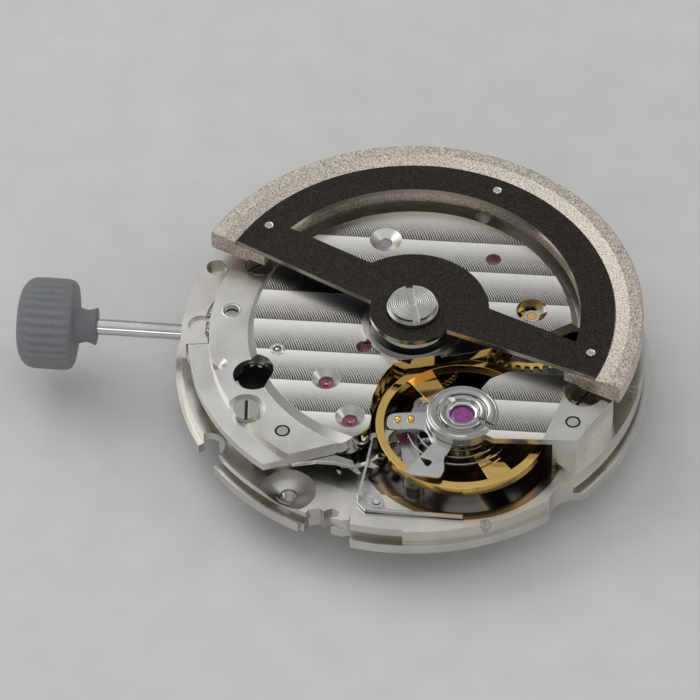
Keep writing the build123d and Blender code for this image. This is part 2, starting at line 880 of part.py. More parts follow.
def bridge_holes():
    high_z = boss_z + overrun
    cut = disc(plain_hole_at, plain_hole_r, recess_z - overrun, high_z)
    cut += cone(dimple_at, fit_gap, dimple_r, plain_z - dimple_depth, plain_z)
    cut += disc(large_hole_at, large_hole_r, ledge_z - overrun, high_z)
    cut += disc(bushed_hole_at, bushed_hole_r, recess_z - overrun, high_z)
    for at in train_ats:
        cut += disc(at, jewel_r, upper_jewel_z - overrun, high_z)
    for at in (fourth_at, escape_at):
        cut += cone(at, jewel_r, sink_r, striped_z - sink_depth, striped_z)
    cut += disc(idler_at, jewel_r, upper_jewel_z - overrun, high_z)
    cut += disc(barrel_at, arbor_hole_r + fit_gap, recess_z - overrun, high_z)
    cut += cone(barrel_at, arbor_hole_r, arbor_sink_r, striped_z - arbor_sink_depth, striped_z)
    window = disc(auto_wheel_at, auto_hole_r, recess_z - overrun, high_z)
    window -= disc(auto_wheel_at, hub_r, recess_z - overrun, plain_z)
    web_end = polar(auto_wheel_at, 2 * auto_hole_r, auto_web_deg)
    cut += window - bar(auto_wheel_at, web_end, auto_web_w, recess_z - overrun, plain_z)
    cut += disc(auto_wheel_at, post_hole_r + fit_gap, recess_z - overrun, high_z)
    cut += disc(edge_hole_at, edge_hole_r, recess_z - overrun, high_z)
    cut += disc(reverser_at, arbor_r + fit_gap, recess_z - overrun, high_z)
    cut += disc(centre, seconds_pivot_r + fit_gap, recess_z - overrun, seconds_top_z + side_gap)
    cut += disc(centre, rotor_shank_r + fit_gap, rotor_shank_z, high_z)
    for at in (bright_screw_at, slotted_screw_at, far_screw_at):
        cut += disc(at, shank_r + fit_gap, ledge_z - overrun, high_z)
        room = counterbore_r if at == slotted_screw_at else head_r + side_gap
        cut += disc(at, room, plain_z - head_h, high_z)
    cut += disc(steady_pin_at, steady_pin_r, ledge_z - overrun, high_z)
    cut += disc(steady_pin_at, steady_ring_r, plain_z - steady_ring_depth, high_z)
    return cut


def train_bridge():
    outline = bridge_outline()
    bridge = face_prism(outline, ledge_z, plain_z)
    end_deg = shelf_end_deg + shelf_over_deg
    bridge -= sector(bridge_r + overrun, bridge_left_r, shelf_start_deg, end_deg, shelf_z, striped_z)
    raised = cone(centre, striped_foot_r, striped_r, plain_z, striped_z)
    bridge += raised & face_prism(outline, plain_z, striped_z)
    bridge += ring(centre, boss_r, boss_in_r, striped_z, boss_z) & face_prism(outline, striped_z, boss_z)
    bridge -= disc(clamp_ats[1], clamp_sink_r + wheel_gap, ledge_z, boss_z)
    bridge -= bridge_recesses()
    bridge -= bridge_holes()
    return bridge


def balance_cock():
    cock = disc(balance_at, cock_r, cock_z, cock_top_z) + prism(cock_body, cock_z, cock_top_z)
    cock += disc(balance_at, cock_boss_r, cock_boss_z, cock_z)
    foot = prism(cock_body, right_ledge_z, cock_z)
    x1 = 2 * plate_r
    y0 = cock_body[8][1] - overrun
    y1 = cock_body[2][1] + overrun
    foot &= prism(((cock_foot_x, y0), (x1, y0), (x1, y1), (cock_foot_x, y1)), right_ledge_z, cock_z)
    cock += foot
    cock -= disc(balance_at, shock_bore_r, cock_boss_z, cock_top_z)
    cock -= disc(cock_screw_at, counterbore_r, cock_top_z - head_h - cock_screw_sink, cock_top_z)
    cock -= disc(cock_screw_at, shank_r + fit_gap, right_ledge_z, cock_top_z)
    cock -= disc(cock_pin_at, steady_pin_r, right_ledge_z, cock_top_z)
    cock -= disc(cock_pin_at, steady_ring_r, cock_top_z - steady_ring_depth, cock_top_z)
    return cock


def pallet_bridge():
    bridge = disc(pallet_at, pallet_bridge_w / 2 + side_gap, pallet_bridge_z, pallet_bridge_top_z)
    for foot in pallet_feet:
        bridge += disc(foot, pallet_foot_r, pallet_bridge_z, pallet_bridge_top_z)
        bridge += bar(pallet_at, foot, pallet_bridge_w, pallet_bridge_z, pallet_bridge_top_z)
        bridge -= disc(foot, small_shank_r + fit_gap, pallet_bridge_z, pallet_bridge_top_z)
        bridge -= disc(foot, small_head_r + fit_gap, pallet_bridge_top_z - small_head_h, pallet_bridge_top_z)
    return bridge - disc(pallet_at, jewel_r, pallet_bridge_z, pallet_bridge_top_z)


def bridge_screws():
    base_z = plain_z - head_h
    cock_base_z = cock_top_z - head_h - cock_screw_sink
    places = ((bright_screw_at, base_z, bright_slot_deg), (slotted_screw_at, base_z, slotted_slot_deg))
    places += ((far_screw_at, base_z, far_slot_deg), (cock_screw_at, cock_base_z, cock_slot_deg))
    screws = []
    for at, z, deg in places:
        screws.append(screw(at, z, head_r, head_h, head_slot, head_slot_depth, shank_r, shank_end_z, deg))
    return screws


def small_screws():
    base_z = pallet_bridge_top_z - small_head_h
    places = [(at, base_z, pallet_bridge_z, pallet_slot_deg) for at in pallet_feet]
    places.append((apron_screw_at, apron_z, apron_z, apron_slot_deg))
    screws = []
    for at, z, seat_z, deg in places:
        end_z = seat_z - small_shank_h + fit_gap
        depth = small_head_h / 2
        screws.append(screw(at, z, small_head_r, small_head_h, small_slot, depth, small_shank_r, end_z, deg))
    for at in guard_post_ats:
        head = disc(at, small_head_r, 0, guard_h)
        end = polar(at, 2 * small_head_r, guard_slot_deg)
        head -= bar(end, polar(at, -2 * small_head_r, guard_slot_deg), small_slot, 0, guard_h / 2)
        screws.append(head + disc(at, small_shank_r, guard_h, guard_h + small_shank_h))
    return screws


def pivot_jewels():
    jewels = [jewel(at, lower_jewel_z, floor_z, False) for at in train_ats + (pallet_at,)]
    jewels += [jewel(at, upper_jewel_z, plain_z, True) for at in train_ats + (idler_at,)]
    jewels.append(jewel(pallet_at, pallet_bridge_z, pallet_bridge_top_z, True))
    return jewels


def steady_pins():
    bridge_pin = disc(steady_pin_at, steady_pin_r, steady_seat_z, plain_z)
    cock_pin = disc(cock_pin_at, steady_pin_r, steady_seat_z, cock_top_z)
    return [bridge_pin, cock_pin]


def shock_blocks():
    block = ring(balance_at, shock_bore_r, shock_bore_r - shock_wall, shock_block_z, shock_block_top_z)
    block += ring(balance_at, shock_bore_r, jewel_hole_r + fit_gap, shock_block_z, cap_jewel_z - side_gap)
    low_top_z = lower_shock_z + lower_shock_h
    lower = ring(balance_at, shock_bore_r, jewel_hole_r + fit_gap, low_top_z - lower_shock_h / 3, low_top_z)
    lower += ring(balance_at, shock_bore_r, shock_bore_r - shock_wall, lower_shock_z, low_top_z)
    return [block, lower]


def cap_jewels():
    upper = disc(balance_at, cap_jewel_r, cap_jewel_z, cap_jewel_z + cap_jewel_h / 2)
    dome_z = cap_jewel_z + cap_jewel_h / 2
    upper += cone(balance_at, cap_jewel_r, cap_jewel_r * 3 / 4, dome_z, cap_jewel_z + cap_jewel_h)
    low_z = lower_shock_z + lower_shock_h / 3
    lower = disc(balance_at, cap_jewel_r, low_z, staff_z - fit_gap)
    return [upper, lower]


def lyre(z0):
    out_r = shock_bore_r - side_gap
    z1 = z0 + lyre_h
    spring = sector_at(balance_at, out_r, out_r - lyre_w, -lyre_half_deg, lyre_half_deg, z0, z1)
    for deg in (-lyre_half_deg, lyre_half_deg):
        start = polar(balance_at, out_r - lyre_w / 2, deg)
        spring += bar(start, polar(balance_at, cap_jewel_r / 3, deg), lyre_w, z0, z1)
    return spring


def sector_at(at, r, r_in, start_deg, end_deg, z0, z1):
    reach = 2 * r
    span = end_deg - start_deg
    steps = max(1, math.ceil(span / 60))
    edge = [polar(at, reach, start_deg + span * i / steps) for i in range(steps + 1)]
    return ring(at, r, r_in, z0, z1) & prism([at] + edge, z0, z1)


def shock_springs():
    return [lyre(shock_block_top_z), lyre(lower_shock_z - lyre_h)]


def barrel_drum():
    pitch_r = pitch_radius(barrel_span, barrel_tooth_count, centre_pinion_count)
    drum = toothed(barrel_at, barrel_tooth_count, pitch_r, barrel_z, barrel_z + barrel_tooth_h, 0)
    drum += disc(barrel_at, drum_r, barrel_z + barrel_tooth_h, barrel_top_z)
    drum -= disc(barrel_at, drum_r - drum_wall, barrel_z + drum_floor, barrel_top_z - cover_h)
    drum -= disc(barrel_at, drum_r - drum_wall / 2, barrel_top_z - cover_h, barrel_top_z)
    return drum - disc(barrel_at, barrel_bearing_r + run_gap, barrel_z, barrel_top_z)


def barrel_cover():
    return ring(
        barrel_at, drum_r - drum_wall / 2, barrel_bearing_r + run_gap, barrel_top_z - cover_h, barrel_top_z
    )


def barrel_arbor():
    arbor = disc(barrel_at, barrel_bearing_r, works_z + side_gap + fit_gap, ratchet_z + ratchet_h)
    core_z = barrel_z + drum_floor + run_gap
    arbor += disc(barrel_at, barrel_arbor_r, core_z, barrel_top_z - cover_h - run_gap)
    return arbor + disc(barrel_at, arbor_hole_r, ratchet_z + ratchet_h, striped_z - arbor_sink_depth)


def mainspring():
    low_z = barrel_z + drum_floor + fit_gap
    return ring(barrel_at, drum_r - drum_wall - fit_gap, spring_in_r, low_z, barrel_top_z - cover_h - fit_gap)


def ratchet_wheel():
    wheel = saw_toothed(barrel_at, ratchet_tooth_count, ratchet_r, ratchet_z, ratchet_z + ratchet_h, 0)
    return wheel - disc(barrel_at, barrel_bearing_r, ratchet_z, ratchet_z + ratchet_h)


def crown_wheel():
    phase = mesh_phase(ratchet_tooth_count, 0, barrel_at, crown_wheel_count, crown_wheel_at)
    wheel = toothed(crown_wheel_at, crown_wheel_count, crown_wheel_r, ratchet_z, ratchet_z + ratchet_h, phase)
    return wheel - disc(crown_wheel_at, crown_stud_r + run_gap, ratchet_z, ratchet_z + ratchet_h)


def crown_wheel_stud():
    flange = disc(crown_wheel_at, 2 * crown_stud_r, ratchet_z - 2 * run_gap, ratchet_z - run_gap)
    return flange + disc(crown_wheel_at, crown_stud_r, ratchet_z - run_gap, recess_z)


def click():
    z1 = ratchet_z + ratchet_h
    tip = polar(click_at, click_beak_l, click_deg)
    return link(click_at, tip, click_r, click_r, ratchet_z, z1) - disc(click_at, small_shank_r, ratchet_z, z1)


def click_spring():
    z1 = ratchet_z + ratchet_h
    post = polar(click_at, click_recess_r - click_r, click_spring_deg)
    spring = disc(post, click_r / 2, ratchet_z, recess_z)
    side = click_r / 2 + click_spring_w / 2 + side_gap
    touch = polar(polar(click_at, click_beak_l / 2, click_deg), side, click_deg - 90)
    stud = disc(click_at, small_shank_r - fit_gap, ratchet_z, recess_z)
    return [spring + bar(post, touch, click_spring_w, ratchet_z, z1), stud]


def centre_wheel():
    span = barrel_span
    pinion_r = pitch_radius(span, centre_pinion_count, barrel_tooth_count)
    phase = mesh_phase(barrel_tooth_count, 0, barrel_at, centre_pinion_count, centre)
    wheel_r = pitch_radius(third_at_r, centre_wheel_count, third_pinion_count)
    z1 = centre_wheel_z + centre_wheel_h
    wheel = toothed(centre, centre_wheel_count, wheel_r, centre_wheel_z, z1, 0)
    wheel = spoked(wheel, centre, wheel_r - rim_w, 5, 20, centre_wheel_z, z1, pinion_r)
    wheel += leaved(centre, centre_pinion_count, pinion_r, z1, centre_pinion_top_z, phase)
    wheel += disc(centre, centre_tube_r, centre_tube_z, centre_tube_top_z)
    return wheel - disc(centre, centre_bore_r, centre_tube_z, centre_tube_top_z)


def third_wheel():
    phase = mesh_phase(centre_wheel_count, 0, centre, third_pinion_count, third_at)
    pinion_r = pitch_radius(third_at_r, third_pinion_count, centre_wheel_count)
    wheel_r = pitch_radius(third_at_r, third_wheel_count, train_pinion_count)
    z1 = third_wheel_z + third_wheel_h
    wheel = toothed(third_at, third_wheel_count, wheel_r, third_wheel_z, z1, 0)
    wheel = spoked(wheel, third_at, wheel_r - rim_w, 5, 0, third_wheel_z, z1)
    wheel += leaved(third_at, third_pinion_count, pinion_r, floor_z + side_gap, third_pinion_top_z, phase)
    return wheel + pivoted(third_at, arbor_low_z, arbor_high_z)


def fourth_wheel():
    pinion_r = pitch_radius(third_at_r, train_pinion_count, third_wheel_count)
    phase = mesh_phase(third_wheel_count, 0, third_at, train_pinion_count, fourth_at)
    wheel_r = pitch_radius(escape_span, fourth_wheel_count, escape_pinion_count)
    z1 = fourth_wheel_z + fourth_wheel_h
    wheel = toothed(fourth_at, fourth_wheel_count, wheel_r, fourth_wheel_z, z1, 0)
    wheel = spoked(wheel, fourth_at, wheel_r - rim_w, 5, 10, fourth_wheel_z, z1)
    high_z = train_pinion_z + train_pinion_h
    wheel += leaved(fourth_at, train_pinion_count, pinion_r, train_pinion_z, high_z, phase)
    return wheel + pivoted(fourth_at, arbor_low_z, arbor_high_z)


def escape_wheel():
    points = []
    step = 360 / escape_tooth_count
    root_r = escape_r - escape_tooth_h
    for i in range(escape_tooth_count):
        turn = step * i
        points.append(polar(escape_at, root_r, turn - step * club_heel_share))
        points.append(polar(escape_at, escape_r - club_drop, turn - step * club_width_share))
        points.append(polar(escape_at, escape_r, turn))
        points.append(polar(escape_at, root_r, turn - step * club_face_share))
    wheel = prism(points, escape_z, escape_z + escape_h)
    wheel = spoked(wheel, escape_at, root_r - rim_w / 2, 4, 15, escape_z, escape_z + escape_h)
    pinion_r = pitch_radius(escape_span, escape_pinion_count, fourth_wheel_count)
    phase = mesh_phase(fourth_wheel_count, 0, fourth_at, escape_pinion_count, escape_at)
    z1 = escape_pinion_z + escape_pinion_h
    wheel += leaved(escape_at, escape_pinion_count, pinion_r, escape_pinion_z, z1, phase)
    return wheel + pivoted(escape_at, arbor_low_z, arbor_high_z)


club_heel_share = 0.62
club_width_share = 0.2
club_face_share = 0.12
club_drop = 0.08


def stone_place(side):
    turn = heading(escape_at, pallet_at) + side * stone_lift_deg
    return polar(escape_at, escape_r + stone_gap, turn), turn


def pallet_fork():
    z1 = fork_z + fork_h
    fork = disc(pallet_at, fork_w, fork_z, z1)
    for side in (-1, 1):
        foot, turn = stone_place(side)
        fork += bar(pallet_at, polar(foot, stone_l / 2, turn), fork_w, fork_z, z1)
        fork += bar(foot, polar(foot, stone_l, turn), stone_w + fork_w, fork_z, z1)
        fork -= bar(foot, polar(foot, stone_l / 2, turn), stone_w, fork_z, z1)
    reach = distance(pallet_at, balance_at) - impulse_at_r - impulse_r - side_gap
    lever_turn = heading(pallet_at, balance_at)
    tip = polar(pallet_at, reach, lever_turn)
    fork += bar(pallet_at, tip, fork_w, fork_z, z1, fork_end_w)
    slot_start = polar(pallet_at, reach - fork_slot_l, lever_turn)
    fork -= bar(slot_start, polar(tip, overrun, lever_turn), fork_slot_w, fork_z, z1)
    low_z = arbor_low_z
    high_z = pallet_bridge_top_z - fit_gap
    fork += disc(pallet_at, arbor_r, floor_z + side_gap, pallet_bridge_z - side_gap)
    return fork + disc(pallet_at, pivot_r, low_z, high_z)


def pallet_stones():
    stones = []
    for side in (-1, 1):
        foot, turn = stone_place(side)
        stones.append(bar(foot, polar(foot, stone_l / 2, turn), stone_w, fork_z, fork_z + fork_h))
    return stones


def balance_wheel():
    arm_z = balance_z + balance_arm_h
    wheel = ring(balance_at, balance_r, balance_r - balance_rim_w, balance_z, balance_top_z)
    wheel += disc(balance_at, balance_hub_r, balance_z, arm_z)
    for i in range(2):
        turn = balance_arm_deg + 180 * i
        tip = polar(balance_at, balance_r - balance_rim_w / 2, turn)
        wheel += bar(balance_at, tip, balance_arm_w, balance_z, arm_z, balance_arm_end_w)
    return wheel - disc(balance_at, staff_r, balance_z, arm_z)


def balance_staff():
    staff = disc(balance_at, staff_r, staff_z + pivot_h, staff_top_z - 2 * pivot_h)
    return staff + disc(balance_at, pivot_r, staff_z, staff_top_z - fit_gap)


def roller_table():
    roller = ring(balance_at, roller_r, staff_r, roller_z, roller_z + roller_h)
    roller += ring(balance_at, safety_roller_r, staff_r, fork_z, roller_z)
    at = polar(balance_at, impulse_at_r, heading(balance_at, pallet_at))
    return roller - disc(at, impulse_r, roller_z, roller_z + roller_h)


def impulse_jewel():
    at = polar(balance_at, impulse_at_r, heading(balance_at, pallet_at))
    return disc(at, impulse_r, fork_z - side_gap, roller_z + roller_h)


def spiral_radius(half_turns):
    return hairspring_in_r + hairspring_pitch / 2 * half_turns


def spiral_shift():
    return hairspring_pitch / 4


def hairspring():
    half = hairspring_w / 2
    z1 = hairspring_z + hairspring_h
    blade = None
    gaps = []
    for i in range(2 * hairspring_turns):
        near_r = spiral_radius(i)
        middle_r = near_r + spiral_shift()
        side = 1 if i % 2 == 0 else -1
        at = (-side * spiral_shift(), 0)
        band = ring(at, middle_r + half, middle_r - half, hairspring_z, z1)
        reach = 2 * middle_r
        corners = ((-reach, 0), (reach, 0), (reach, -side * reach), (-reach, -side * reach))
        piece = band & prism(corners, hairspring_z, z1)
        blade = piece if blade is None else blade + piece
        if i >= 2:
            gaps.append(near_r - spiral_radius(i - 2) - hairspring_w)
    print("hairspring least gap", round(min(gaps), 3), "wanted over", least_spring_gap)
    blade += ring(centre, collet_r, staff_r + fit_gap, collet_z, collet_z + collet_h)
    blade += bar((collet_r - half, 0), (hairspring_in_r + half, 0), hairspring_w, hairspring_z, z1)
    return Pos(balance_at[0], balance_at[1], 0) * Rot(0, 0, carrier_deg) * blade


def stud_carrier():
    z1 = carrier_z + carrier_h
    carrier = ring(balance_at, ring_out_r, ring_in_r, carrier_z, z1)
    tip = polar(balance_at, carrier_l, carrier_deg)
    start = polar(balance_at, (ring_in_r + ring_out_r) / 2, carrier_deg)
    return carrier + bar(start, tip, carrier_w, carrier_z, z1)


def stud_pins():
    pins = []
    z1 = carrier_z + carrier_h
    for share in carrier_pins_share:
        at = polar(balance_at, carrier_l * share, carrier_deg)
        pins.append(disc(at, carrier_pin_r, z1, z1 + carrier_pin_h))
    end_r = spiral_radius(2 * hairspring_turns)
    at = polar(balance_at, end_r + hairspring_w / 2 + stud_r, carrier_deg)
    pins.append(disc(at, stud_r, hairspring_z, carrier_z))
    return pins


def regulator():
    z1 = regulator_z + regulator_h
    arm = ring(balance_at, ring_out_r, ring_in_r, regulator_z, z1)
    start = polar(balance_at, (ring_in_r + ring_out_r) / 2, regulator_deg)
    tip = polar(balance_at, regulator_l, regulator_deg)
    pad = polar(tip, -regulator_pad_l, regulator_deg)
    arm += bar(start, pad, regulator_w, regulator_z, z1)
    arm += bar(pad, tip, regulator_w, regulator_z, z1, regulator_pad_w)
    hole_at = polar(tip, -regulator_pad_l / 3, regulator_deg)
    hole = [polar(hole_at, regulator_hole_r, regulator_deg + 120 * i) for i in range(3)]
    arm -= prism(hole, regulator_z, z1)
    turn = math.radians(regulator_deg - carrier_deg)
    outer_r = spiral_radius(2 * hairspring_turns) - spiral_shift()
    across = spiral_shift() * math.sin(turn)
    coil_r = spiral_shift() * math.cos(turn) + math.sqrt(outer_r ** 2 - across ** 2)
    offset = hairspring_w / 2 + run_gap + curb_pin_r
    for side in (-1, 1):
        at = polar(balance_at, coil_r + side * offset, regulator_deg)
        arm += disc(at, curb_pin_r, hairspring_z - run_gap, regulator_z)
    return arm


def seconds_pinion():
    pinion_r = pitch_radius(third_at_r, train_pinion_count, third_wheel_count)
    phase = mesh_phase(third_wheel_count, 0, third_at, train_pinion_count, centre)
    high_z = train_pinion_z + train_pinion_h
    pinion = leaved(centre, train_pinion_count, pinion_r, train_pinion_z, high_z, phase)
    pinion += disc(centre, seconds_arbor_r, seconds_tip_z, train_pinion_z)
    return pinion + disc(centre, seconds_pivot_r, high_z, seconds_top_z)


def cannon_pinion():
    z1 = cannon_z + motion_h
    pinion = leaved(centre, cannon_count, cannon_pitch_r, cannon_z, z1, 0)
    pinion += disc(centre, cannon_r, cannon_seat_z, cannon_z)
    pinion += disc(centre, cannon_seat_r, cannon_tip_z, cannon_seat_z)
    return pinion - disc(centre, centre_tube_r + fit_gap, cannon_tip_z, z1)


def minute_wheel():
    phase = mesh_phase(cannon_count, 0, centre, minute_count, minute_at)
    wheel = toothed(minute_at, minute_count, minute_pitch_r, cannon_z, cannon_z + motion_h, phase)
    wheel += leaved(minute_at, minute_pinion_count, minute_pinion_r, hour_z - side_gap, cannon_z, 0)
    return wheel + disc(minute_at, post_hole_r - fit_gap, cannon_z + motion_h, floor_z - wheel_gap)


def hour_wheel():
    phase = mesh_phase(minute_pinion_count, 0, minute_at, hour_count, centre)
    wheel = toothed(centre, hour_count, hour_pitch_r, hour_z, hour_z + motion_h, phase)
    wheel += disc(centre, hour_pipe_r, hour_tip_z, hour_z)
    return wheel - disc(centre, cannon_r + fit_gap, hour_tip_z, hour_z + motion_h)


def minute_phase():
    return mesh_phase(cannon_count, 0, centre, minute_count, minute_at)


def setting_wheel():
    phase = mesh_phase(minute_count, minute_phase(), minute_at, setting_wheel_count, setting_wheel_at)
    mid_z = cannon_z + motion_h
    wheel = toothed(setting_wheel_at, setting_wheel_count, setting_wheel_r, cannon_z, mid_z, phase)
    wheel += disc(setting_wheel_at, hub_r, cannon_z + motion_h, setting_wheel_top_z)
    upper_z = setting_wheel_top_z - setting_upper_h
    high_z = setting_wheel_top_z
    return wheel + toothed(setting_wheel_at, setting_wheel_count, setting_wheel_r, upper_z, high_z, phase)


def hour_phase():
    return mesh_phase(minute_pinion_count, 0, minute_at, hour_count, centre)


def date_intermediate_wheel():
    at = date_intermediate_at
    phase = mesh_phase(hour_count, hour_phase(), centre, date_intermediate_count, at)
    wheel = toothed(at, date_intermediate_count, date_intermediate_r, hour_z, hour_z + motion_h, phase)
    wheel += leaved(at, date_pinion_count, date_pinion_r, date_driver_z, hour_z, 0)
    return wheel + disc(at, post_hole_r - fit_gap, hour_z + motion_h, floor_z - wheel_gap)


def date_driver():
    at = date_driver_at
    phase = mesh_phase(date_pinion_count, 0, date_intermediate_at, date_driver_count, at)
    wheel = toothed(at, date_driver_count, date_driver_r, date_driver_z, date_driver_z + motion_h, phase)
    wheel += disc(at, hub_r, finger_z, date_driver_z)
    reach = ring_tooth_r - distance(centre, at) - jumper_nose_gap
    wheel += bar(at, polar(at, reach, date_line_deg + 95), finger_w, finger_z, finger_z + finger_h)
    return wheel + disc(at, post_hole_r - fit_gap, date_driver_z + motion_h, floor_z - wheel_gap)


def date_ring():
    step = 360 / ring_tooth_count
    points = []
    for i in range(ring_tooth_count):
        points.append(polar(centre, ring_tooth_r, step * i))
        points.append(polar(centre, ring_in_side_r, step * (i + 1 / 2)))
    return disc(centre, ring_r, ring_z, ring_z + ring_h) - prism(points, ring_z, ring_z + ring_h)


def date_guard():
    guard = ring(centre, guard_r, guard_hole_r, 0, guard_h)
    for at in guard_post_ats:
        guard -= disc(at, small_head_r + fit_gap, 0, guard_h)
    return guard


def date_jumper():
    z1 = ring_z + ring_h
    turn = heading(centre, jumper_at)
    nose = polar(centre, ring_tooth_r - jumper_nose_gap, turn + 22)
    jumper = link(jumper_at, nose, jumper_w, jumper_w / 2, ring_z, z1)
    return jumper + disc(jumper_at, small_shank_r, z1, works_z)


def winding_pinion():
    pinion = leaved_rod(winding_pinion_x, winding_pinion_l)
    return pinion - x_rod(winding_pinion_x, winding_pinion_x + winding_pinion_l, stem_r + run_gap, stem_z)


def leaved_rod(x0, length):
    leaves = leaved(centre, keyless_tooth_count, keyless_pinion_r, 0, length, 0)
    return Pos(x0, 0, stem_z) * Rot(0, 90, 0) * leaves


def sliding_pinion():
    x0 = sliding_pinion_x
    end_x = x0 + sliding_pinion_l
    groove_x = sliding_groove_x()
    pinion = leaved_rod(x0, sliding_pinion_l)
    groove = x_rod(groove_x - sliding_groove_w / 2, groove_x + sliding_groove_w / 2, flange_z, stem_z)
    pinion -= groove
    pinion += x_rod(x0, end_x, sliding_groove_r, stem_z)
    half = stem_square / 2 + clutch_bore_gap
    corners = ((x0, -half), (end_x, -half), (end_x, half), (x0, half))
    return pinion - prism(corners, stem_z - half, stem_z + half)


def stem():
    rod = x_rod(stem_out_x, winding_pinion_x + winding_pinion_l, stem_r, stem_z)
    gx = stem_groove_x
    rod -= x_rod(gx - stem_groove_w / 2, gx + stem_groove_w / 2, stem_r + overrun, stem_z)
    rod += x_rod(gx - stem_groove_w / 2, gx + stem_groove_w / 2, stem_groove_r, stem_z)
    half = stem_square / 2
    x0 = winding_pinion_x + winding_pinion_l
    corners = ((x0, -half), (stem_end_x, -half), (stem_end_x, half), (x0, half))
    return rod + prism(corners, stem_z - half, stem_z + half)


def crown():
    length = crown_in_x - crown_out_x
    module_r = crown_r - crown_rib_depth
    step = 360 / crown_rib_count
    points = []
    for i in range(crown_rib_count):
        turn = step * i
        points.append(polar(centre, module_r, turn - step * rib_foot_share))
        points.append(polar(centre, crown_r, turn - step * rib_tip_share))
        points.append(polar(centre, crown_r, turn + step * rib_tip_share))
        points.append(polar(centre, module_r, turn + step * rib_foot_share))
    knob = Pos(crown_out_x, 0, stem_z) * Rot(0, 90, 0) * prism(points, 0, length)
    profile = [
        (crown_out_x, 0), (crown_out_x, crown_r - 2 * crown_chamfer), (crown_out_x + crown_chamfer, crown_r),
        (crown_in_x - crown_chamfer / 2, crown_r), (crown_in_x, crown_r - crown_chamfer), (crown_in_x, 0),
    ]
    envelope = Pos(0, 0, stem_z) * revolve(Plane.XZ * make_face(Polyline(*profile, close=True)), Axis.X)
    knob &= envelope
    waist_x = (neck_x + crown_in_x) / 2
    neck_profile = [
        (crown_in_x, 0), (crown_in_x, neck_r), (waist_x, neck_waist_r), (neck_x, neck_r), (neck_x, 0),
    ]
    neck = Pos(0, 0, stem_z) * revolve(Plane.XZ * make_face(Polyline(*neck_profile, close=True)), Axis.X)
    return knob + neck - x_rod(stem_out_x, neck_x, stem_r, stem_z)


def setting_lever():
    z1 = lever_z + lever_h
    pin_at = (stem_groove_x, setting_pin_y)
    lever = link(setting_pivot_at, pin_at, setting_lever_w, setting_lever_w, lever_z, z1)
    lever += disc(pin_at, setting_lever_w / 2, lever_z, z1)
    lever += disc(pin_at, setting_pin_r, z1, stem_z)
    return lever + disc(setting_pivot_at, setting_pivot_r - fit_gap, z1, groove_z + wheel_gap)


def yoke():
    z1 = lever_z + lever_h
    pin_at = (sliding_groove_x(), yoke_pin_y)
    lever = link(yoke_pivot_at, pin_at, setting_lever_w, setting_lever_w, lever_z, z1)
    lever += disc(pin_at, setting_lever_w / 2, lever_z, z1)
    lever += disc(pin_at, setting_pin_r, z1, stem_z)
    return lever + disc(yoke_pivot_at, shank_r - fit_gap, z1, floor_z - wheel_gap)


def hack_lever():
    z1 = hack_z + hack_h
    lever = disc(hack_pivot_at, hack_ring_r, hack_z, z1)
    lever += bar(hack_pivot_at, hack_bend, 2 * hack_w, hack_z, z1)
    lever += bar(hack_bend, hack_end, hack_w, hack_z, z1)
    low = (hack_low_x, hack_pivot_at[1])
    lever += bar(hack_bend, low, 2 * hack_w, hack_z, z1)
    lever += disc(low, hack_w, hack_z, hack_blade_z)
    lever += bar(low, hack_top, hack_w, hack_blade_low_z, hack_blade_z)
    lever += disc(hack_top, hack_nub_r, hack_blade_low_z, hack_nub_z)
    return lever - disc(hack_pivot_at, hack_pin_r + run_gap, hack_z, z1)


def base_cut(z0, z1):
    reach = 2 * flange_r
    left = polar(centre, reach, base_deg)
    right = polar(centre, reach, base_deg + 180)
    return prism((left, right, polar(right, reach, base_deg + 90), polar(left, reach, base_deg + 90)), z0, z1)


def arms_cut(z0, z1):
    reach = 2 * flange_r
    below = base_deg + 90
    left_tip = polar(polar(centre, rotor_plate_r, base_deg), -base_rise, below)
    right_tip = polar(polar(centre, rotor_plate_r, base_deg + 180), -base_rise, below)
    left_hub = polar(polar(centre, hub_out_r, base_deg), base_drop, below)
    right_hub = polar(polar(centre, hub_out_r, base_deg + 180), base_drop, below)
    left = polar(left_tip, reach, base_deg)
    right = polar(right_tip, reach, base_deg + 180)
    corners = (left, left_tip, left_hub, right_hub, right_tip, right)
    return prism(corners + (polar(right, reach, below), polar(left, reach, below)), z0, z1)


def window_prism(z0, z1):
    shape = disc(centre, window_r, z0, z1) - disc(centre, window_hub_r, z0, z1)
    reach = 2 * flange_r
    left = polar(window_left, reach, heading(window_left, window_left_corner))
    right = polar(window_right, reach, heading(window_right, window_right_corner))
    top = polar(centre, reach, base_deg - 90)
    return shape & prism((window_left, left, top, right, window_right, centre), z0, z1)


def rotor_plate():
    plate = disc(centre, rotor_plate_r, rotor_z, rotor_top_z) - arms_cut(rotor_z, rotor_top_z)
    plate += disc(centre, hub_out_r, rotor_z, rotor_top_z)
    plate -= window_prism(rotor_z, rotor_top_z)
    for at in rivet_places():
        plate -= disc(at, rivet_r, rotor_z, rotor_top_z)
    return plate - disc(centre, rotor_step_r + run_gap, rotor_z, rotor_top_z)


def rivet_places():
    return [polar(centre, rivet_at_r, base_deg + deg) for deg in rivet_from_base_degs]


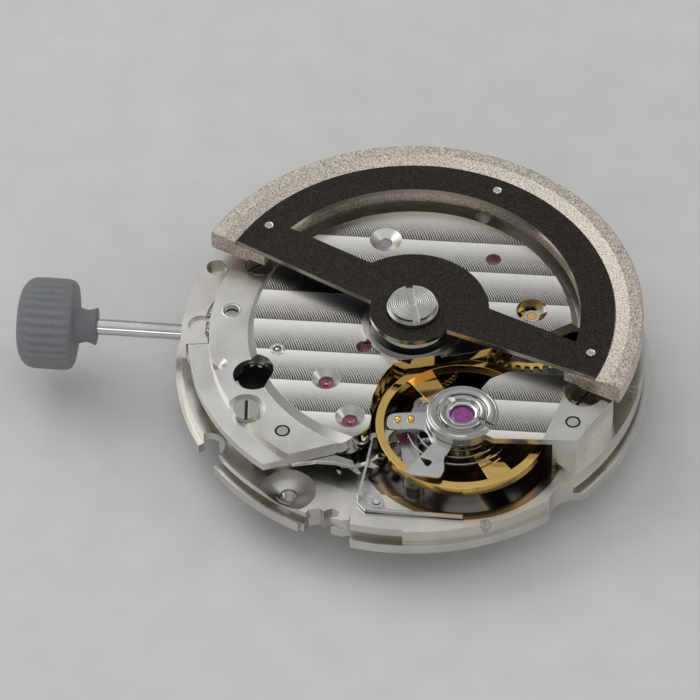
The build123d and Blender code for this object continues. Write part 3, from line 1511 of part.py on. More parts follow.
def rotor_weight():
    profile = [
        (weight_in_r, weight_z), (weight_r - rim_chamfer, weight_z), (weight_r, weight_z + rim_chamfer),
        (weight_r, weight_top_z - rim_chamfer), (weight_r - rim_chamfer, weight_top_z),
        (bevel_out_r, weight_top_z), (bevel_in_r, bevel_z), (bevel_in_r, rotor_z),
        (weight_lip_r, rotor_z), (weight_lip_r, weight_lip_z), (weight_in_r, weight_lip_z),
    ]
    weight = revolve(Plane.XZ * make_face(Polyline(*profile, close=True)), Axis.Z)
    weight -= base_cut(weight_z, weight_top_z)
    for at in rivet_places():
        weight -= disc(at, rivet_r, weight_lip_z, rotor_z)
    return weight


def rotor_rivets():
    return [disc(at, rivet_r, weight_lip_z, rotor_top_z + rivet_head_h) for at in rivet_places()]


def rotor_bearing():
    gear_r = pitch_radius(reverser_from_centre, rotor_gear_count, reverser_count)
    race = ring(centre, race_r, race_in_r, race_z, rotor_z)
    gear_z1 = rotor_gear_z + rotor_gear_h
    gear = toothed(centre, rotor_gear_count, gear_r, rotor_gear_z, gear_z1, 0)
    race += gear - disc(centre, race_in_r, rotor_gear_z, gear_z1)
    balls = []
    ball_at_r = (core_r + race_in_r) / 2
    for i in range(ball_count):
        at = polar(centre, ball_at_r, 360 * i / ball_count)
        balls.append(Pos(at[0], at[1], (race_z + rotor_z) / 2) * Sphere(ball_r - fit_gap))
    return [race] + balls


def bearing_core():
    return ring(centre, core_r, rotor_shank_r + fit_gap, striped_z, core_top_z)


def rotor_screw():
    body = disc(centre, rotor_step_r, core_top_z, rotor_screw_z)
    body += disc(centre, rotor_screw_r, rotor_screw_z, rotor_screw_top_z)
    body += disc(centre, rotor_shank_r, rotor_shank_z + fit_gap, core_top_z)
    end = polar(centre, 2 * rotor_screw_r, rotor_slot_deg)
    start = polar(centre, -2 * rotor_screw_r, rotor_slot_deg)
    return body - bar(start, end, rotor_slot_w, rotor_screw_top_z - rotor_slot_depth, rotor_screw_top_z)


def reverser():
    wheel_r = pitch_radius(reverser_from_centre, reverser_count, rotor_gear_count)
    phase = mesh_phase(rotor_gear_count, 0, centre, reverser_count, reverser_at)
    wheel = toothed(reverser_at, reverser_count, wheel_r, rotor_gear_z, rotor_gear_z + rotor_gear_h, phase)
    wheel += disc(reverser_at, arbor_r, ratchet_z + ratchet_h, rotor_gear_z)
    start = auto_phase()
    pinion_phase = mesh_phase(auto_wheel_count, start, auto_wheel_at, reverser_pinion_count, reverser_at)
    z1 = ratchet_z + ratchet_h
    return wheel + leaved(reverser_at, reverser_pinion_count, reverser_pinion_r, ratchet_z, z1, pinion_phase)


def idler_phase():
    return mesh_phase(ratchet_tooth_count, 0, barrel_at, idler_count, idler_at)


def auto_phase():
    return mesh_phase(idler_count, idler_phase(), idler_at, auto_wheel_count, auto_wheel_at)


def automatic_wheel():
    z1 = ratchet_z + ratchet_h
    wheel = leaved(auto_wheel_at, auto_wheel_count, auto_wheel_r, ratchet_z, z1, auto_phase())
    wheel = spoked(wheel, auto_wheel_at, auto_wheel_r - rim_w, 6, 10, ratchet_z, z1, 3 * hub_r / 2)
    return wheel + disc(auto_wheel_at, post_hole_r, z1, plain_z)


def winding_idler():
    z1 = ratchet_z + ratchet_h
    idler = leaved(idler_at, idler_count, idler_r, ratchet_z, z1, idler_phase())
    idler += disc(idler_at, arbor_r, z1, upper_jewel_z)
    return idler + disc(idler_at, pivot_r, upper_jewel_z, arbor_high_z)


nodes = {
    "main_plate": main_plate,
    "train_bridge": train_bridge,
    "balance_cock": balance_cock,
    "pallet_bridge": pallet_bridge,
    "bridge_screws": bridge_screws,
    "small_screws": small_screws,
    "pivot_jewels": pivot_jewels,
    "steady_pins": steady_pins,
    "shock_blocks": shock_blocks,
    "cap_jewels": cap_jewels,
    "shock_springs": shock_springs,
    "barrel_drum": barrel_drum,
    "barrel_cover": barrel_cover,
    "barrel_arbor": barrel_arbor,
    "mainspring": mainspring,
    "ratchet_wheel": ratchet_wheel,
    "crown_wheel": crown_wheel,
    "crown_wheel_stud": crown_wheel_stud,
    "click": click,
    "click_spring": click_spring,
    "centre_wheel": centre_wheel,
    "third_wheel": third_wheel,
    "fourth_wheel": fourth_wheel,
    "escape_wheel": escape_wheel,
    "pallet_fork": pallet_fork,
    "pallet_stones": pallet_stones,
    "balance_wheel": balance_wheel,
    "balance_staff": balance_staff,
    "roller_table": roller_table,
    "impulse_jewel": impulse_jewel,
    "hairspring": hairspring,
    "stud_carrier": stud_carrier,
    "stud_pins": stud_pins,
    "regulator": regulator,
    "seconds_pinion": seconds_pinion,
    "cannon_pinion": cannon_pinion,
    "minute_wheel": minute_wheel,
    "hour_wheel": hour_wheel,
    "setting_wheel": setting_wheel,
    "date_intermediate_wheel": date_intermediate_wheel,
    "date_driver": date_driver,
    "date_ring": date_ring,
    "date_guard": date_guard,
    "date_jumper": date_jumper,
    "winding_pinion": winding_pinion,
    "sliding_pinion": sliding_pinion,
    "stem": stem,
    "crown": crown,
    "setting_lever": setting_lever,
    "yoke": yoke,
    "hack_lever": hack_lever,
    "rotor_plate": rotor_plate,
    "rotor_weight": rotor_weight,
    "rotor_rivets": rotor_rivets,
    "rotor_bearing": rotor_bearing,
    "bearing_core": bearing_core,
    "rotor_screw": rotor_screw,
    "reverser": reverser,
    "automatic_wheel": automatic_wheel,
    "winding_idler": winding_idler,
}

os.makedirs("parts", exist_ok=True)
for name, make in nodes.items():
    made = make()
    if isinstance(made, list):
        made = Compound(children=made)
    export_step(made, os.path.join("parts", name + ".step"))
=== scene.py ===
import math

import bmesh
import bpy
from mathutils import Matrix, Vector
from mathutils.geometry import tessellate_polygon


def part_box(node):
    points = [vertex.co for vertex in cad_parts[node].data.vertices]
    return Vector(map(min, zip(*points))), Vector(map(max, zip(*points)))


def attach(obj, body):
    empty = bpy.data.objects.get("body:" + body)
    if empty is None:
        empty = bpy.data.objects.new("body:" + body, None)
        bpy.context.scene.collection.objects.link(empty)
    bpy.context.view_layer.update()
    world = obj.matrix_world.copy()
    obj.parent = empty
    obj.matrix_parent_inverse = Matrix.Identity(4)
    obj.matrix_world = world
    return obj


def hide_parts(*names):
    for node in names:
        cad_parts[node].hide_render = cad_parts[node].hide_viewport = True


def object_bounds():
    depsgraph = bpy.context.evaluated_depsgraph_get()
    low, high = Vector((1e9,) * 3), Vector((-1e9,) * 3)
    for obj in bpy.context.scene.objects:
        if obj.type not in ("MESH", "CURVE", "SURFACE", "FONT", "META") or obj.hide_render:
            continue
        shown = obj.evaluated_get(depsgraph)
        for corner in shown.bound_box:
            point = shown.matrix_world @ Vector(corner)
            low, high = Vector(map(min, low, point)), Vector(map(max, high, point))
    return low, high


# Looks, small fittings, floor, light and camera of a self-winding watch movement.
# Sizes and places are in millimetres, as in the solids, and MM turns them into metres.
# Names ending in deg, count, share or steps are not lengths.

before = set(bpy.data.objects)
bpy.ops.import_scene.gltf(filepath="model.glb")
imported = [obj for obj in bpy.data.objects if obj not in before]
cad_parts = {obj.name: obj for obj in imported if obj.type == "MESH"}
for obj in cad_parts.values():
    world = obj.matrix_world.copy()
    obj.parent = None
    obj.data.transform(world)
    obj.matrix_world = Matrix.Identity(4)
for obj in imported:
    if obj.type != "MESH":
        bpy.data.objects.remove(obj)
cad_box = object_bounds()
MM = 0.001


def corners(node):
    """A node's lowest and highest corner."""
    return [[round(value / MM, 3) for value in corner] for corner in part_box(node)]


def middle(node):
    return [round((a + b) / 2, 3) for a, b in zip(*corners(node))]


# Places and heights that the solids give
stem_z = middle("stem")[2]
balance_at = tuple(middle("balance_wheel")[:2])
crown_end_x = corners("crown")[0][0]
cock_z = corners("balance_cock")[1][2]
rivet_z = corners("rotor_rivets")[1][2]
stud_low_z = corners("stud_pins")[0][2]
stud_arm_z, stud_arm_top_z = (corner[2] for corner in corners("stud_carrier"))
curb_pin_low_z, regulator_top_z = (corner[2] for corner in corners("regulator"))

# Places on the movement, seen from the rotor's side
steady_pins = (((-6.3, -7.8), 3.25), ((9.15, -6.2), 3.7))
large_hole_at = (-8.3, -3.9)
bushed_hole_at = (-7.15, -2.35)
plain_hole_at = (-10.0, 0.67)
clamp_at = (5.7552, 10.2555)
rotor_deg = 157.5
rivet_at_r = 10.1
rivet_degs = (-11, -90, -171)
screw_slots = (
    ((-8.4, -6.4), 3.21, 95), ((-8.85, 4.17), 3.21, 40),
    ((8.1, 7.0), 3.21, 20), ((9.6, -4.0), 3.26, 60),
)

# Heights of what the small fittings stand on
bushing_z = 3.78
hole_rim_z = 3.34
bezel_z = 3.66

# Stud's arm and regulator, whose rings turn about the balance's axis
arm_ring_r = 1.8
arm_hole_r = 1.2
arm_start_deg = 262
regulator_z = 3.24
let_in = 0.02


# Materials

# Where most values of a slow noise lie, and of a fine one
cloud_low = 0.3
cloud_high = 0.7
grain_low = 0.35
grain_high = 0.65

# How far a surface looks up where it counts as a top or as a wall
top_facing = 0.8
wall_facing = 0.3

# Stripes of the bridges, with their curved tool lines
stripe_pitch = 2.18
stripe_start = -0.08
stripe_slope = 0.0129
stripe_height = 0.16
striped_low_z = 3.79
striped_high_z = 3.85
line_pitch = 0.14
line_depth = 0.014
line_wobble = 0.12
line_bend = 0.16
# How far the tool lines are darkened, as painted shade
line_shade = 0.62
scratch_stretch = 0.12
cock_end_slope = 0.27


def scaled(color, factor):
    return tuple(min(1, channel * factor) for channel in color)


class Finish:
    """A principled material with short calls for its nodes."""

    def __init__(self, name, color, **sockets):
        self.material = bpy.data.materials.new(name)
        self.material.use_nodes = True
        self.tree = self.material.node_tree
        self.shader = self.tree.nodes["Principled BSDF"]
        self.shader.inputs["Base Color"].default_value = (*color, 1)
        self.material.diffuse_color = (*color, 1)
        for key, value in sockets.items():
            self.shader.inputs[key.replace("_", " ")].default_value = value
        self.coords = self.tree.nodes.new("ShaderNodeTexCoord").outputs["Object"]

    def add(self, kind, **values):
        node = self.tree.nodes.new(kind)
        for key, value in values.items():
            if hasattr(node, key):
                setattr(node, key, value)
            else:
                node.inputs[key.replace("_", " ")].default_value = value
        return node

    def join(self, source, target):
        self.tree.links.new(source, target)

    def calc(self, operation, a, b=0.0, c=0.0):
        node = self.add("ShaderNodeMath", operation=operation)
        for socket, value in zip(node.inputs, (a, b, c)):
            if isinstance(value, (int, float)):
                socket.default_value = value
            else:
                self.join(value, socket)
        return node.outputs[0]

    def plus(self, a, b):
        return self.calc("ADD", a, b)

    def times(self, a, b):
        return self.calc("MULTIPLY", a, b)

    def above(self, a, b):
        return self.calc("GREATER_THAN", a, b)

    def below(self, a, b):
        return self.calc("LESS_THAN", a, b)

    def axes(self, vector=None):
        node = self.add("ShaderNodeSeparateXYZ")
        self.join(vector or self.coords, node.inputs[0])
        return node.outputs

    def facing(self):
        """How far the surface looks up, from -1 to 1."""
        return self.axes(self.add("ShaderNodeNewGeometry").outputs["Normal"])[2]

    def away(self, at):
        """Distance in metres from an upright axis."""
        x, y, _ = self.axes()
        dx = self.calc("SUBTRACT", x, at[0] * MM)
        dy = self.calc("SUBTRACT", y, at[1] * MM)
        return self.calc("SQRT", self.plus(self.times(dx, dx), self.times(dy, dy)))

    def noise(self, per_mm, detail, stretch=None):
        source = self.coords
        if stretch:
            mapping = self.add("ShaderNodeMapping", Scale=stretch)
            self.join(source, mapping.inputs["Vector"])
            source = mapping.outputs[0]
        node = self.add("ShaderNodeTexNoise", Scale=per_mm / MM, Detail=detail)
        self.join(source, node.inputs["Vector"])
        return node.outputs["Fac"]

    def span(self, value, low, high, to_low, to_high):
        node = self.add("ShaderNodeMapRange")
        ends = (("From Min", low), ("From Max", high), ("To Min", to_low), ("To Max", to_high))
        for key, number in ends:
            node.inputs[key].default_value = number
        self.join(value, node.inputs["Value"])
        return node.outputs[0]

    def spread(self, cloud, to_low, to_high):
        return self.span(cloud, cloud_low, cloud_high, to_low, to_high)

    def ramp(self, value, stops):
        node = self.add("ShaderNodeValToRGB")
        points = node.color_ramp.elements
        while len(points) < len(stops):
            points.new(0.5)
        for point, (place, color) in zip(points, stops):
            point.position = place
            point.color = (*color, 1)
        self.join(value, node.inputs[0])
        return node.outputs[0]

    def shades(self, cloud, color, darker, lighter, low=cloud_low, high=cloud_high):
        """The colour, from darker to lighter as the noise rises."""
        return self.ramp(cloud, ((low, scaled(color, darker)), (high, scaled(color, lighter))))

    def mix(self, factor, a, b):
        """Colour a or b, as the factor goes from 0 to 1."""
        node = self.add("ShaderNodeMix", data_type="RGBA")
        self.join(factor, node.inputs[0])
        for place, value in ((6, a), (7, b)):
            if isinstance(value, tuple):
                node.inputs[place].default_value = (*value, 1)
            else:
                self.join(value, node.inputs[place])
        return node.outputs[2]

    def blend(self, factor, a, b):
        """Number a or b, as the factor goes from 0 to 1."""
        rest = self.times(self.calc("SUBTRACT", 1.0, factor), a)
        return self.plus(rest, self.times(factor, b))

    def color(self, output):
        self.join(output, self.shader.inputs["Base Color"])

    def rough(self, output):
        self.join(output, self.shader.inputs["Roughness"])

    def rounded(self, edge_mm):
        """Normals that round each edge off by this radius."""
        edge = self.add("ShaderNodeBevel", samples=4)
        edge.inputs["Radius"].default_value = edge_mm * MM
        return edge.outputs[0]

    def bump(self, height_mm, edge_mm, strength=1.0):
        node = self.add("ShaderNodeBump", Strength=strength, Distance=MM)
        self.join(height_mm, node.inputs["Height"])
        self.join(self.rounded(edge_mm), node.inputs["Normal"])
        self.join(node.outputs[0], self.shader.inputs["Normal"])


def metal(name, color, roughness, grain_per_mm, grain_mm, stretch=None, edge_mm=0.03):
    """Satin or polished metal with a fine grain, in slow clouds of tone and gloss."""
    darker, lighter, vary = 0.9, 1.06, 0.06
    made = Finish(name, color, Metallic=1.0)
    grain = made.noise(grain_per_mm, detail=4.0, stretch=stretch)
    cloud = made.noise(0.35, detail=2.0)
    made.rough(made.spread(cloud, roughness - vary, roughness + vary))
    made.color(made.shades(cloud, color, darker, lighter))
    made.bump(made.times(grain, grain_mm), edge_mm)
    return made.material


def tool_lines(made, x, y, shift_mm):
    """Place across the stripe, from 0 to 1, and how deep the curved tool lines cut there."""
    across = made.calc("MULTIPLY_ADD", x, -stripe_slope, y)
    across = made.plus(across, (shift_mm - stripe_start) * MM)
    share = made.calc("FRACT", made.calc("DIVIDE", across, stripe_pitch * MM))
    down = made.times(made.calc("SUBTRACT", 1.0, share), stripe_pitch)
    lean = made.times(down, made.calc("MULTIPLY_ADD", down, -line_bend, 1.0))
    along = made.calc("SUBTRACT", made.calc("DIVIDE", x, MM), lean)
    along = made.plus(along, made.times(made.noise(0.8, detail=2.0), line_wobble))
    phase = made.calc("FRACT", made.calc("DIVIDE", along, line_pitch))
    ridge = made.calc("ABSOLUTE", made.calc("MULTIPLY_ADD", phase, 2.0, -1.0))
    combine = made.add("ShaderNodeCombineXYZ")
    made.join(along, combine.inputs[0])
    made.join(made.times(down, scratch_stretch), combine.inputs[1])
    scratch = made.add("ShaderNodeTexNoise", Scale=9.0, Detail=3.0)
    made.join(combine.outputs[0], scratch.inputs["Vector"])
    fade = made.span(share, 0.1, 0.92, to_low=1.0, to_high=0.06)
    uneven = made.spread(scratch.outputs["Fac"], 0.65, 1.15)
    return share, made.times(ridge, made.times(fade, uneven))


def striped(name, shift_mm=0.0, wall_at=None, wall_r=0.0, ends_at=None):
    """Satin nickel with bands of curved tool lines on its raised top.

    Each band is painted light at its upper edge and dark at its lower one, a painted
    reflection, and its tool lines are darkened with painted shade. Walls within wall_r of
    wall_at are polished, and the bands stop where ends_at says, along a slanted line.
    """
    made = Finish(name, (0.66, 0.645, 0.61), Metallic=1.0)
    x, y, z = made.axes()
    raised = made.times(made.above(z, striped_low_z * MM), made.below(z, striped_high_z * MM))
    raised = made.times(raised, made.above(made.facing(), top_facing))
    if ends_at:
        reach = made.calc("MULTIPLY_ADD", y, -cock_end_slope, x)
        raised = made.times(raised, made.below(reach, ends_at * MM))
    share, cut = tool_lines(made, x, y, shift_mm)

    # Painted reflection: each band runs from dark at its lower edge to light at its upper one.
    base = made.span(share, 0.0, 0.95, to_low=0.5, to_high=1.0)
    tone = made.calc("SUBTRACT", base, made.times(cut, line_shade))
    # The tool lines are darkened with painted shade, down to near black.
    groove_shade, half_tone, light = (0.012, 0.012, 0.011), (0.27, 0.262, 0.243), (0.88, 0.86, 0.815)
    bands = made.ramp(tone, ((0.0, groove_shade), (0.45, half_tone), (1.0, light)))
    cloud = made.noise(0.5, detail=3.0)
    dull, bright = (0.6, 0.585, 0.55), (0.72, 0.705, 0.67)
    plain = made.ramp(cloud, ((cloud_low, dull), (cloud_high, bright)))
    made.color(made.mix(raised, plain, bands))

    plain_gloss = made.spread(cloud, 0.24, 0.34)
    if wall_at:
        polish = 0.06
        near = made.below(made.away(wall_at), wall_r * MM)
        side = made.below(made.calc("ABSOLUTE", made.facing()), wall_facing)
        plain_gloss = made.blend(made.times(near, side), plain_gloss, polish)
    band_gloss = made.span(share, 0.0, 1.0, to_low=0.22, to_high=0.36)
    made.rough(made.blend(raised, plain_gloss, band_gloss))

    grain_per_mm, grain_mm = 16, 0.0012
    height = made.plus(made.times(cut, -line_depth), made.times(share, stripe_height))
    grain = made.times(made.noise(grain_per_mm, detail=3.0), grain_mm)
    made.bump(made.blend(raised, grain, height), edge_mm=0.03, strength=0.8)
    return made.material


def turned(name, color, roughness, ring_mm, depth_mm):
    """Metal with rings from the lathe about the centre axis, fine ones and broad ones."""
    broad_ratio, broad_share = 3.7, 0.5
    darker, lighter, smoother, rougher = 0.85, 1.1, 0.04, 0.08
    made = Finish(name, color, Metallic=1.0)
    radius = made.away((0, 0))
    fine = made.calc("SINE", made.times(radius, 2 * math.pi / (ring_mm * MM)))
    broad = made.calc("SINE", made.times(radius, 2 * math.pi / (ring_mm * broad_ratio * MM)))
    rings = made.calc("MULTIPLY_ADD", broad, broad_share, fine)
    top = made.above(made.facing(), top_facing)
    made.bump(made.times(made.times(rings, depth_mm), top), edge_mm=0.03)
    cloud = made.noise(0.6, detail=3.0)
    made.rough(made.spread(cloud, roughness - smoother, roughness + rougher))
    made.color(made.shades(cloud, color, darker, lighter))
    return made.material


def pocketed(name, color, pocket_shade_color, pocket_at, pocket_r, below_z):
    """Smooth satin nickel, darkened with painted shade and polished down in the balance's pocket.
    """
    underside_facing, deep_gloss = -0.3, 0.2
    darker, lighter = 0.9, 1.08
    grain_per_mm, grain_mm = 14, 0.0016
    made = Finish(name, color, Metallic=1.0)
    height = made.axes()[2]
    near = made.below(made.away(pocket_at), pocket_r * MM)
    shaded_pocket = made.times(near, made.below(height, below_z * MM))
    shaded_pocket = made.times(shaded_pocket, made.above(made.facing(), underside_facing))
    cloud = made.noise(0.45, detail=4.0)
    # Painted shade: the plate turns dark down in the balance's pocket.
    made.color(made.mix(shaded_pocket, made.shades(cloud, color, darker, lighter), pocket_shade_color))
    made.rough(made.blend(shaded_pocket, made.spread(cloud, 0.25, 0.38), deep_gloss))
    made.bump(made.times(made.noise(grain_per_mm, detail=4.0), grain_mm), edge_mm=0.04)
    return made.material


def ruby(name, dark, light):
    """Clear polished stone, in clouds of dark and light."""
    made = Finish(name, dark, Roughness=0.05, IOR=1.76, Coat_Weight=0.6, Coat_Roughness=0.03)
    cloud = made.noise(2.5, detail=2.0)
    made.color(made.ramp(cloud, ((grain_low, dark), (grain_high, light))))
    made.join(made.rounded(edge_mm=0.05), made.shader.inputs["Normal"])
    return made.material


def matte(name, color, roughness, grain_per_mm, grain_mm, darker, lighter, edge_mm=0.05):
    """Plastic or paint with a fine grain."""
    vary = 0.06
    made = Finish(name, color)
    grain = made.noise(grain_per_mm, detail=5.0)
    made.color(made.shades(grain, color, darker, lighter, grain_low, grain_high))
    made.rough(made.spread(grain, roughness - vary, roughness + vary))
    made.bump(made.times(grain, grain_mm), edge_mm)
    return made.material


def blasted(name, color, roughness, grain_per_mm, grain_mm, dark, light, edge=None):
    """Sand-blasted metal with a grain of tone and painted glints, with bare walls where edge gives
    their colour.
    """
    edge_facing, edge_gloss, smoother, rougher = 0.75, 0.2, 0.1, 0.12
    grain_share, glint_share, glint_ratio = 0.75, 0.4, 1.3
    made = Finish(name, color, Metallic=1.0)
    grain = made.noise(grain_per_mm, detail=3.0)
    # Painted glints: voronoi cells lift the grain towards the light colour.
    glint_cells = made.add("ShaderNodeTexVoronoi", Scale=grain_per_mm * glint_ratio / MM)
    made.join(made.coords, glint_cells.inputs["Vector"])
    painted_glints = made.times(glint_cells.outputs["Distance"], glint_share)
    mixed = made.plus(made.times(grain, grain_share), painted_glints)
    top = made.ramp(mixed, ((0.35, dark), (0.5, color), (0.72, light)))
    gloss = made.span(mixed, 0.35, 0.7, roughness - smoother, roughness + rougher)
    if edge:
        upright = made.below(made.calc("ABSOLUTE", made.facing()), edge_facing)
        top = made.mix(upright, top, edge)
        gloss = made.blend(upright, gloss, edge_gloss)
    made.color(top)
    made.rough(gloss)
    made.bump(made.times(mixed, grain_mm), edge_mm=0.03)
    return made.material


gold = (0.9, 0.6, 0.2)

looks = {
    # The plate's nickel, with painted shade down in the balance's pocket.
    "plate": pocketed("plate_nickel", (0.66, 0.64, 0.6), (0.2, 0.185, 0.165), balance_at, 5.6, 1.7),
    # Bridge and cock, with painted reflection and shade in their stripes.
    "bridge": striped("bridge_stripes", wall_at=balance_at, wall_r=7.5),
    "cock": striped("cock_stripes", shift_mm=0.6, ends_at=9.685),
    "guard": metal("guard_nickel", (0.69, 0.67, 0.63), 0.3, 14, 0.0016, edge_mm=0.04),
    "steel": metal("steel_polished", (0.66, 0.66, 0.66), 0.12, 9, 0.0008),
    "dark_steel": metal("steel_grey", (0.42, 0.42, 0.42), 0.25, 9, 0.002),
    "bright": metal("steel_bright", (0.72, 0.715, 0.7), 0.1, 9, 0.0008),
    "ring_steel": metal("ring_steel", (0.5, 0.495, 0.48), 0.14, 9, 0.0006),
    "arm_steel": metal("arm_steel", (0.6, 0.595, 0.575), 0.2, 9, 0.0012, (1, 6, 6), 0.045),
    "screw": turned("screw_steel", (0.55, 0.54, 0.52), 0.2, 0.11, 0.0025),
    "head": metal("screw_heads", (0.5, 0.49, 0.46), 0.18, 9, 0.0012, edge_mm=0.06),
    "spring": metal("spring_steel", (0.52, 0.53, 0.55), 0.2, 12, 0.001),
    "gilt": metal("gilt_polished", gold, 0.09, 8, 0.0008, edge_mm=0.05),
    "brass": metal("brass_wheel", gold, 0.2, 10, 0.0015),
    "ruby": ruby("ruby", (0.12, 0.003, 0.035), (0.3, 0.012, 0.1)),
    "violet": ruby("ruby_violet", (0.16, 0.006, 0.14), (0.36, 0.03, 0.33)),
    # The rotor's plate and weight, whose lightest tones are painted glints.
    "rotor_dark": blasted("rotor_dark", (0.022, 0.0195, 0.0175), 0.4, 17, 0.005,
                          (0.008, 0.007, 0.0062), (0.075, 0.067, 0.06), (0.5, 0.45, 0.38)),
    "rotor_rim": blasted("rotor_rim", (0.5, 0.45, 0.39), 0.34, 10, 0.012,
                         (0.3, 0.265, 0.225), (0.85, 0.78, 0.69)),
    "crown": matte("crown_grey", (0.205, 0.215, 0.228), 0.55, 5, 0.004, 0.93, 1.07, 0.12),
    "white": matte("calendar_white", (0.78, 0.78, 0.76), 0.5, 6, 0.002, 0.97, 1.03),
    "plastic": matte("pale_plastic", (0.62, 0.6, 0.52), 0.45, 5, 0.002, 0.85, 1.15),
    # Near-black painted shade, for thin sheets round the steady pins and in the screws' slots.
    "painted_shade": matte("painted_shade", (0.02, 0.019, 0.018), 0.6, 8, 0.001, 0.85, 1.15),
}

node_looks = {
    "plate": ("main_plate",),
    "guard": ("date_guard",),
    "bridge": ("train_bridge",),
    "cock": ("balance_cock",),
    "steel": ("steady_pins", "stem", "shock_blocks", "shock_springs", "seconds_pinion",
              "balance_staff", "crown_wheel", "click", "rotor_rivets", "rotor_bearing",
              "bearing_core", "stud_carrier", "regulator", "hack_lever", "escape_wheel",
              "pallet_fork", "winding_pinion"),
    "dark_steel": ("ratchet_wheel", "barrel_arbor", "crown_wheel_stud", "sliding_pinion",
                   "setting_lever", "yoke", "pallet_bridge"),
    "screw": ("rotor_screw",),
    "head": ("bridge_screws", "small_screws"),
    "spring": ("click_spring", "mainspring", "hairspring", "date_jumper"),
    "gilt": ("balance_wheel", "roller_table", "stud_pins"),
    "brass": ("barrel_drum", "barrel_cover", "centre_wheel", "third_wheel", "fourth_wheel",
              "minute_wheel", "hour_wheel", "cannon_pinion", "setting_wheel",
              "date_intermediate_wheel", "reverser", "automatic_wheel", "winding_idler"),
    "ruby": ("pivot_jewels", "pallet_stones", "impulse_jewel"),
    "violet": ("cap_jewels",),
    "rotor_dark": ("rotor_plate",),
    "rotor_rim": ("rotor_weight",),
    "crown": ("crown",),
    "white": ("date_ring",),
    "plastic": ("date_driver",),
}
for look, names in node_looks.items():
    for name in names:
        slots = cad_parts[name].data.materials
        if not slots:
            slots.append(looks[look])
        for i in range(len(slots)):
            slots[i] = looks[look]


# Shapes

def polar(radius, deg, centre=(0, 0)):
    turn = math.radians(deg)
    return centre[0] + radius * math.cos(turn), centre[1] + radius * math.sin(turn)


def arc(radius, start_deg, end_deg, steps):
    return [polar(radius, start_deg + (end_deg - start_deg) * i / steps) for i in range(steps + 1)]


def softened(points, times=2):
    """An open line with its corners cut."""
    near, far = 0.8, 0.2
    for _ in range(times):
        cut = [points[0]]
        for p, q in zip(points, points[1:]):
            cut.append((near * p[0] + far * q[0], near * p[1] + far * q[1]))
            cut.append((far * p[0] + near * q[0], far * p[1] + near * q[1]))
        points = cut + [points[-1]]
    return points


def at_balance(points):
    return [(balance_at[0] + x, balance_at[1] + y) for x, y in points]


def lifted(profile, z):
    """A profile whose heights are counted from z."""
    return [(r, z + height) for r, height in profile]


def vertex(bm, x, y, z):
    return bm.verts.new((x * MM, y * MM, z * MM))


def skin(bm, rows, closed=False):
    """Faces from each row of vertices to the next, each row being closed on itself."""
    followers = rows[1:] + rows[:1] if closed else rows[1:]
    for a, b in zip(rows, followers):
        for k in range(len(a)):
            after = (k + 1) % len(a)
            bm.faces.new((a[k], a[after], b[after], b[k]))


def cap(bm, rows):
    bm.faces.new(rows[0][::-1])
    bm.faces.new(rows[-1])


def spoke(bm, at, profile, turn):
    """One row of a turned shape: its profile of (radius, z) points, at this turn."""
    c, s = math.cos(turn), math.sin(turn)
    return [vertex(bm, at[0] + r * c, at[1] + r * s, z) for r, z in profile]


def turned_ring(bm, at, profile, steps, start_deg=0, end_deg=360):
    """A closed outline of (radius, z) points turned about an upright axis."""
    whole = end_deg - start_deg >= 360
    rows = []
    for i in range(steps if whole else steps + 1):
        turn = math.radians(start_deg + (end_deg - start_deg) * i / steps)
        rows.append(spoke(bm, at, profile, turn))
    skin(bm, rows, whole)
    if not whole:
        cap(bm, rows)


def slab(bm, outline, low_z, high_z, bevel=0.0):
    """A flat plate of the outline's shape, with its upper rim taken off."""
    points = [Vector(point) for point in outline]
    centre = sum(points, Vector((0, 0))) / len(points)
    rows = []
    for z, inset in ((low_z, 0.0), (high_z - bevel, 0.0), (high_z, bevel)):
        moved = [point + (centre - point).normalized() * inset for point in points]
        rows.append([vertex(bm, point.x, point.y, z) for point in moved])
    skin(bm, rows)
    cap(bm, rows)


def pierced(bm, loops, low_z, high_z):
    """A flat plate of the first loop's shape, with the other loops cut through it."""
    faces = tessellate_polygon([[Vector((x, y, 0)) for x, y in loop] for loop in loops])
    points = [point for loop in loops for point in loop]
    low = [vertex(bm, x, y, low_z) for x, y in points]
    high = [vertex(bm, x, y, high_z) for x, y in points]
    for a, b, c in faces:
        bm.faces.new((high[a], high[b], high[c]))
        bm.faces.new((low[c], low[b], low[a]))
    first = 0
    for loop in loops:
        last = first + len(loop)
        skin(bm, [low[first:last], high[first:last]])
        first = last


def pin(bm, at, radius, low_z, high_z, dome=0.0, steps=32):
    """An upright pin, with a rounded head where dome is more than zero."""
    profile = [(radius, low_z), (radius, high_z - dome)]
    if dome:
        for share in (0.92, 0.75, 0.5, 0.25):
            profile.append((radius * share, high_z - dome * (1 - math.sqrt(1 - share * share))))
    rows = []
    for r, z in profile:
        row = []
        for k in range(steps):
            turn = 2 * math.pi * k / steps
            row.append(vertex(bm, at[0] + r * math.cos(turn), at[1] + r * math.sin(turn), z))
        rows.append(row)
    skin(bm, rows)
    cap(bm, rows)


def finish_mesh(name, bm, look, body, sharp_deg=25):
    """Makes the mesh a piece that rides on the body."""
    bmesh.ops.recalc_face_normals(bm, faces=bm.faces)
    mesh = bpy.data.meshes.new(name)
    bm.to_mesh(mesh)
    bm.free()
    for polygon in mesh.polygons:
        polygon.use_smooth = True
    mesh.set_sharp_from_angle(angle=math.radians(sharp_deg))
    mesh.materials.append(looks[look])
    piece = bpy.data.objects.new(name, mesh)
    bpy.context.scene.collection.objects.link(piece)
    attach(piece, body)
    return piece


# Own pieces

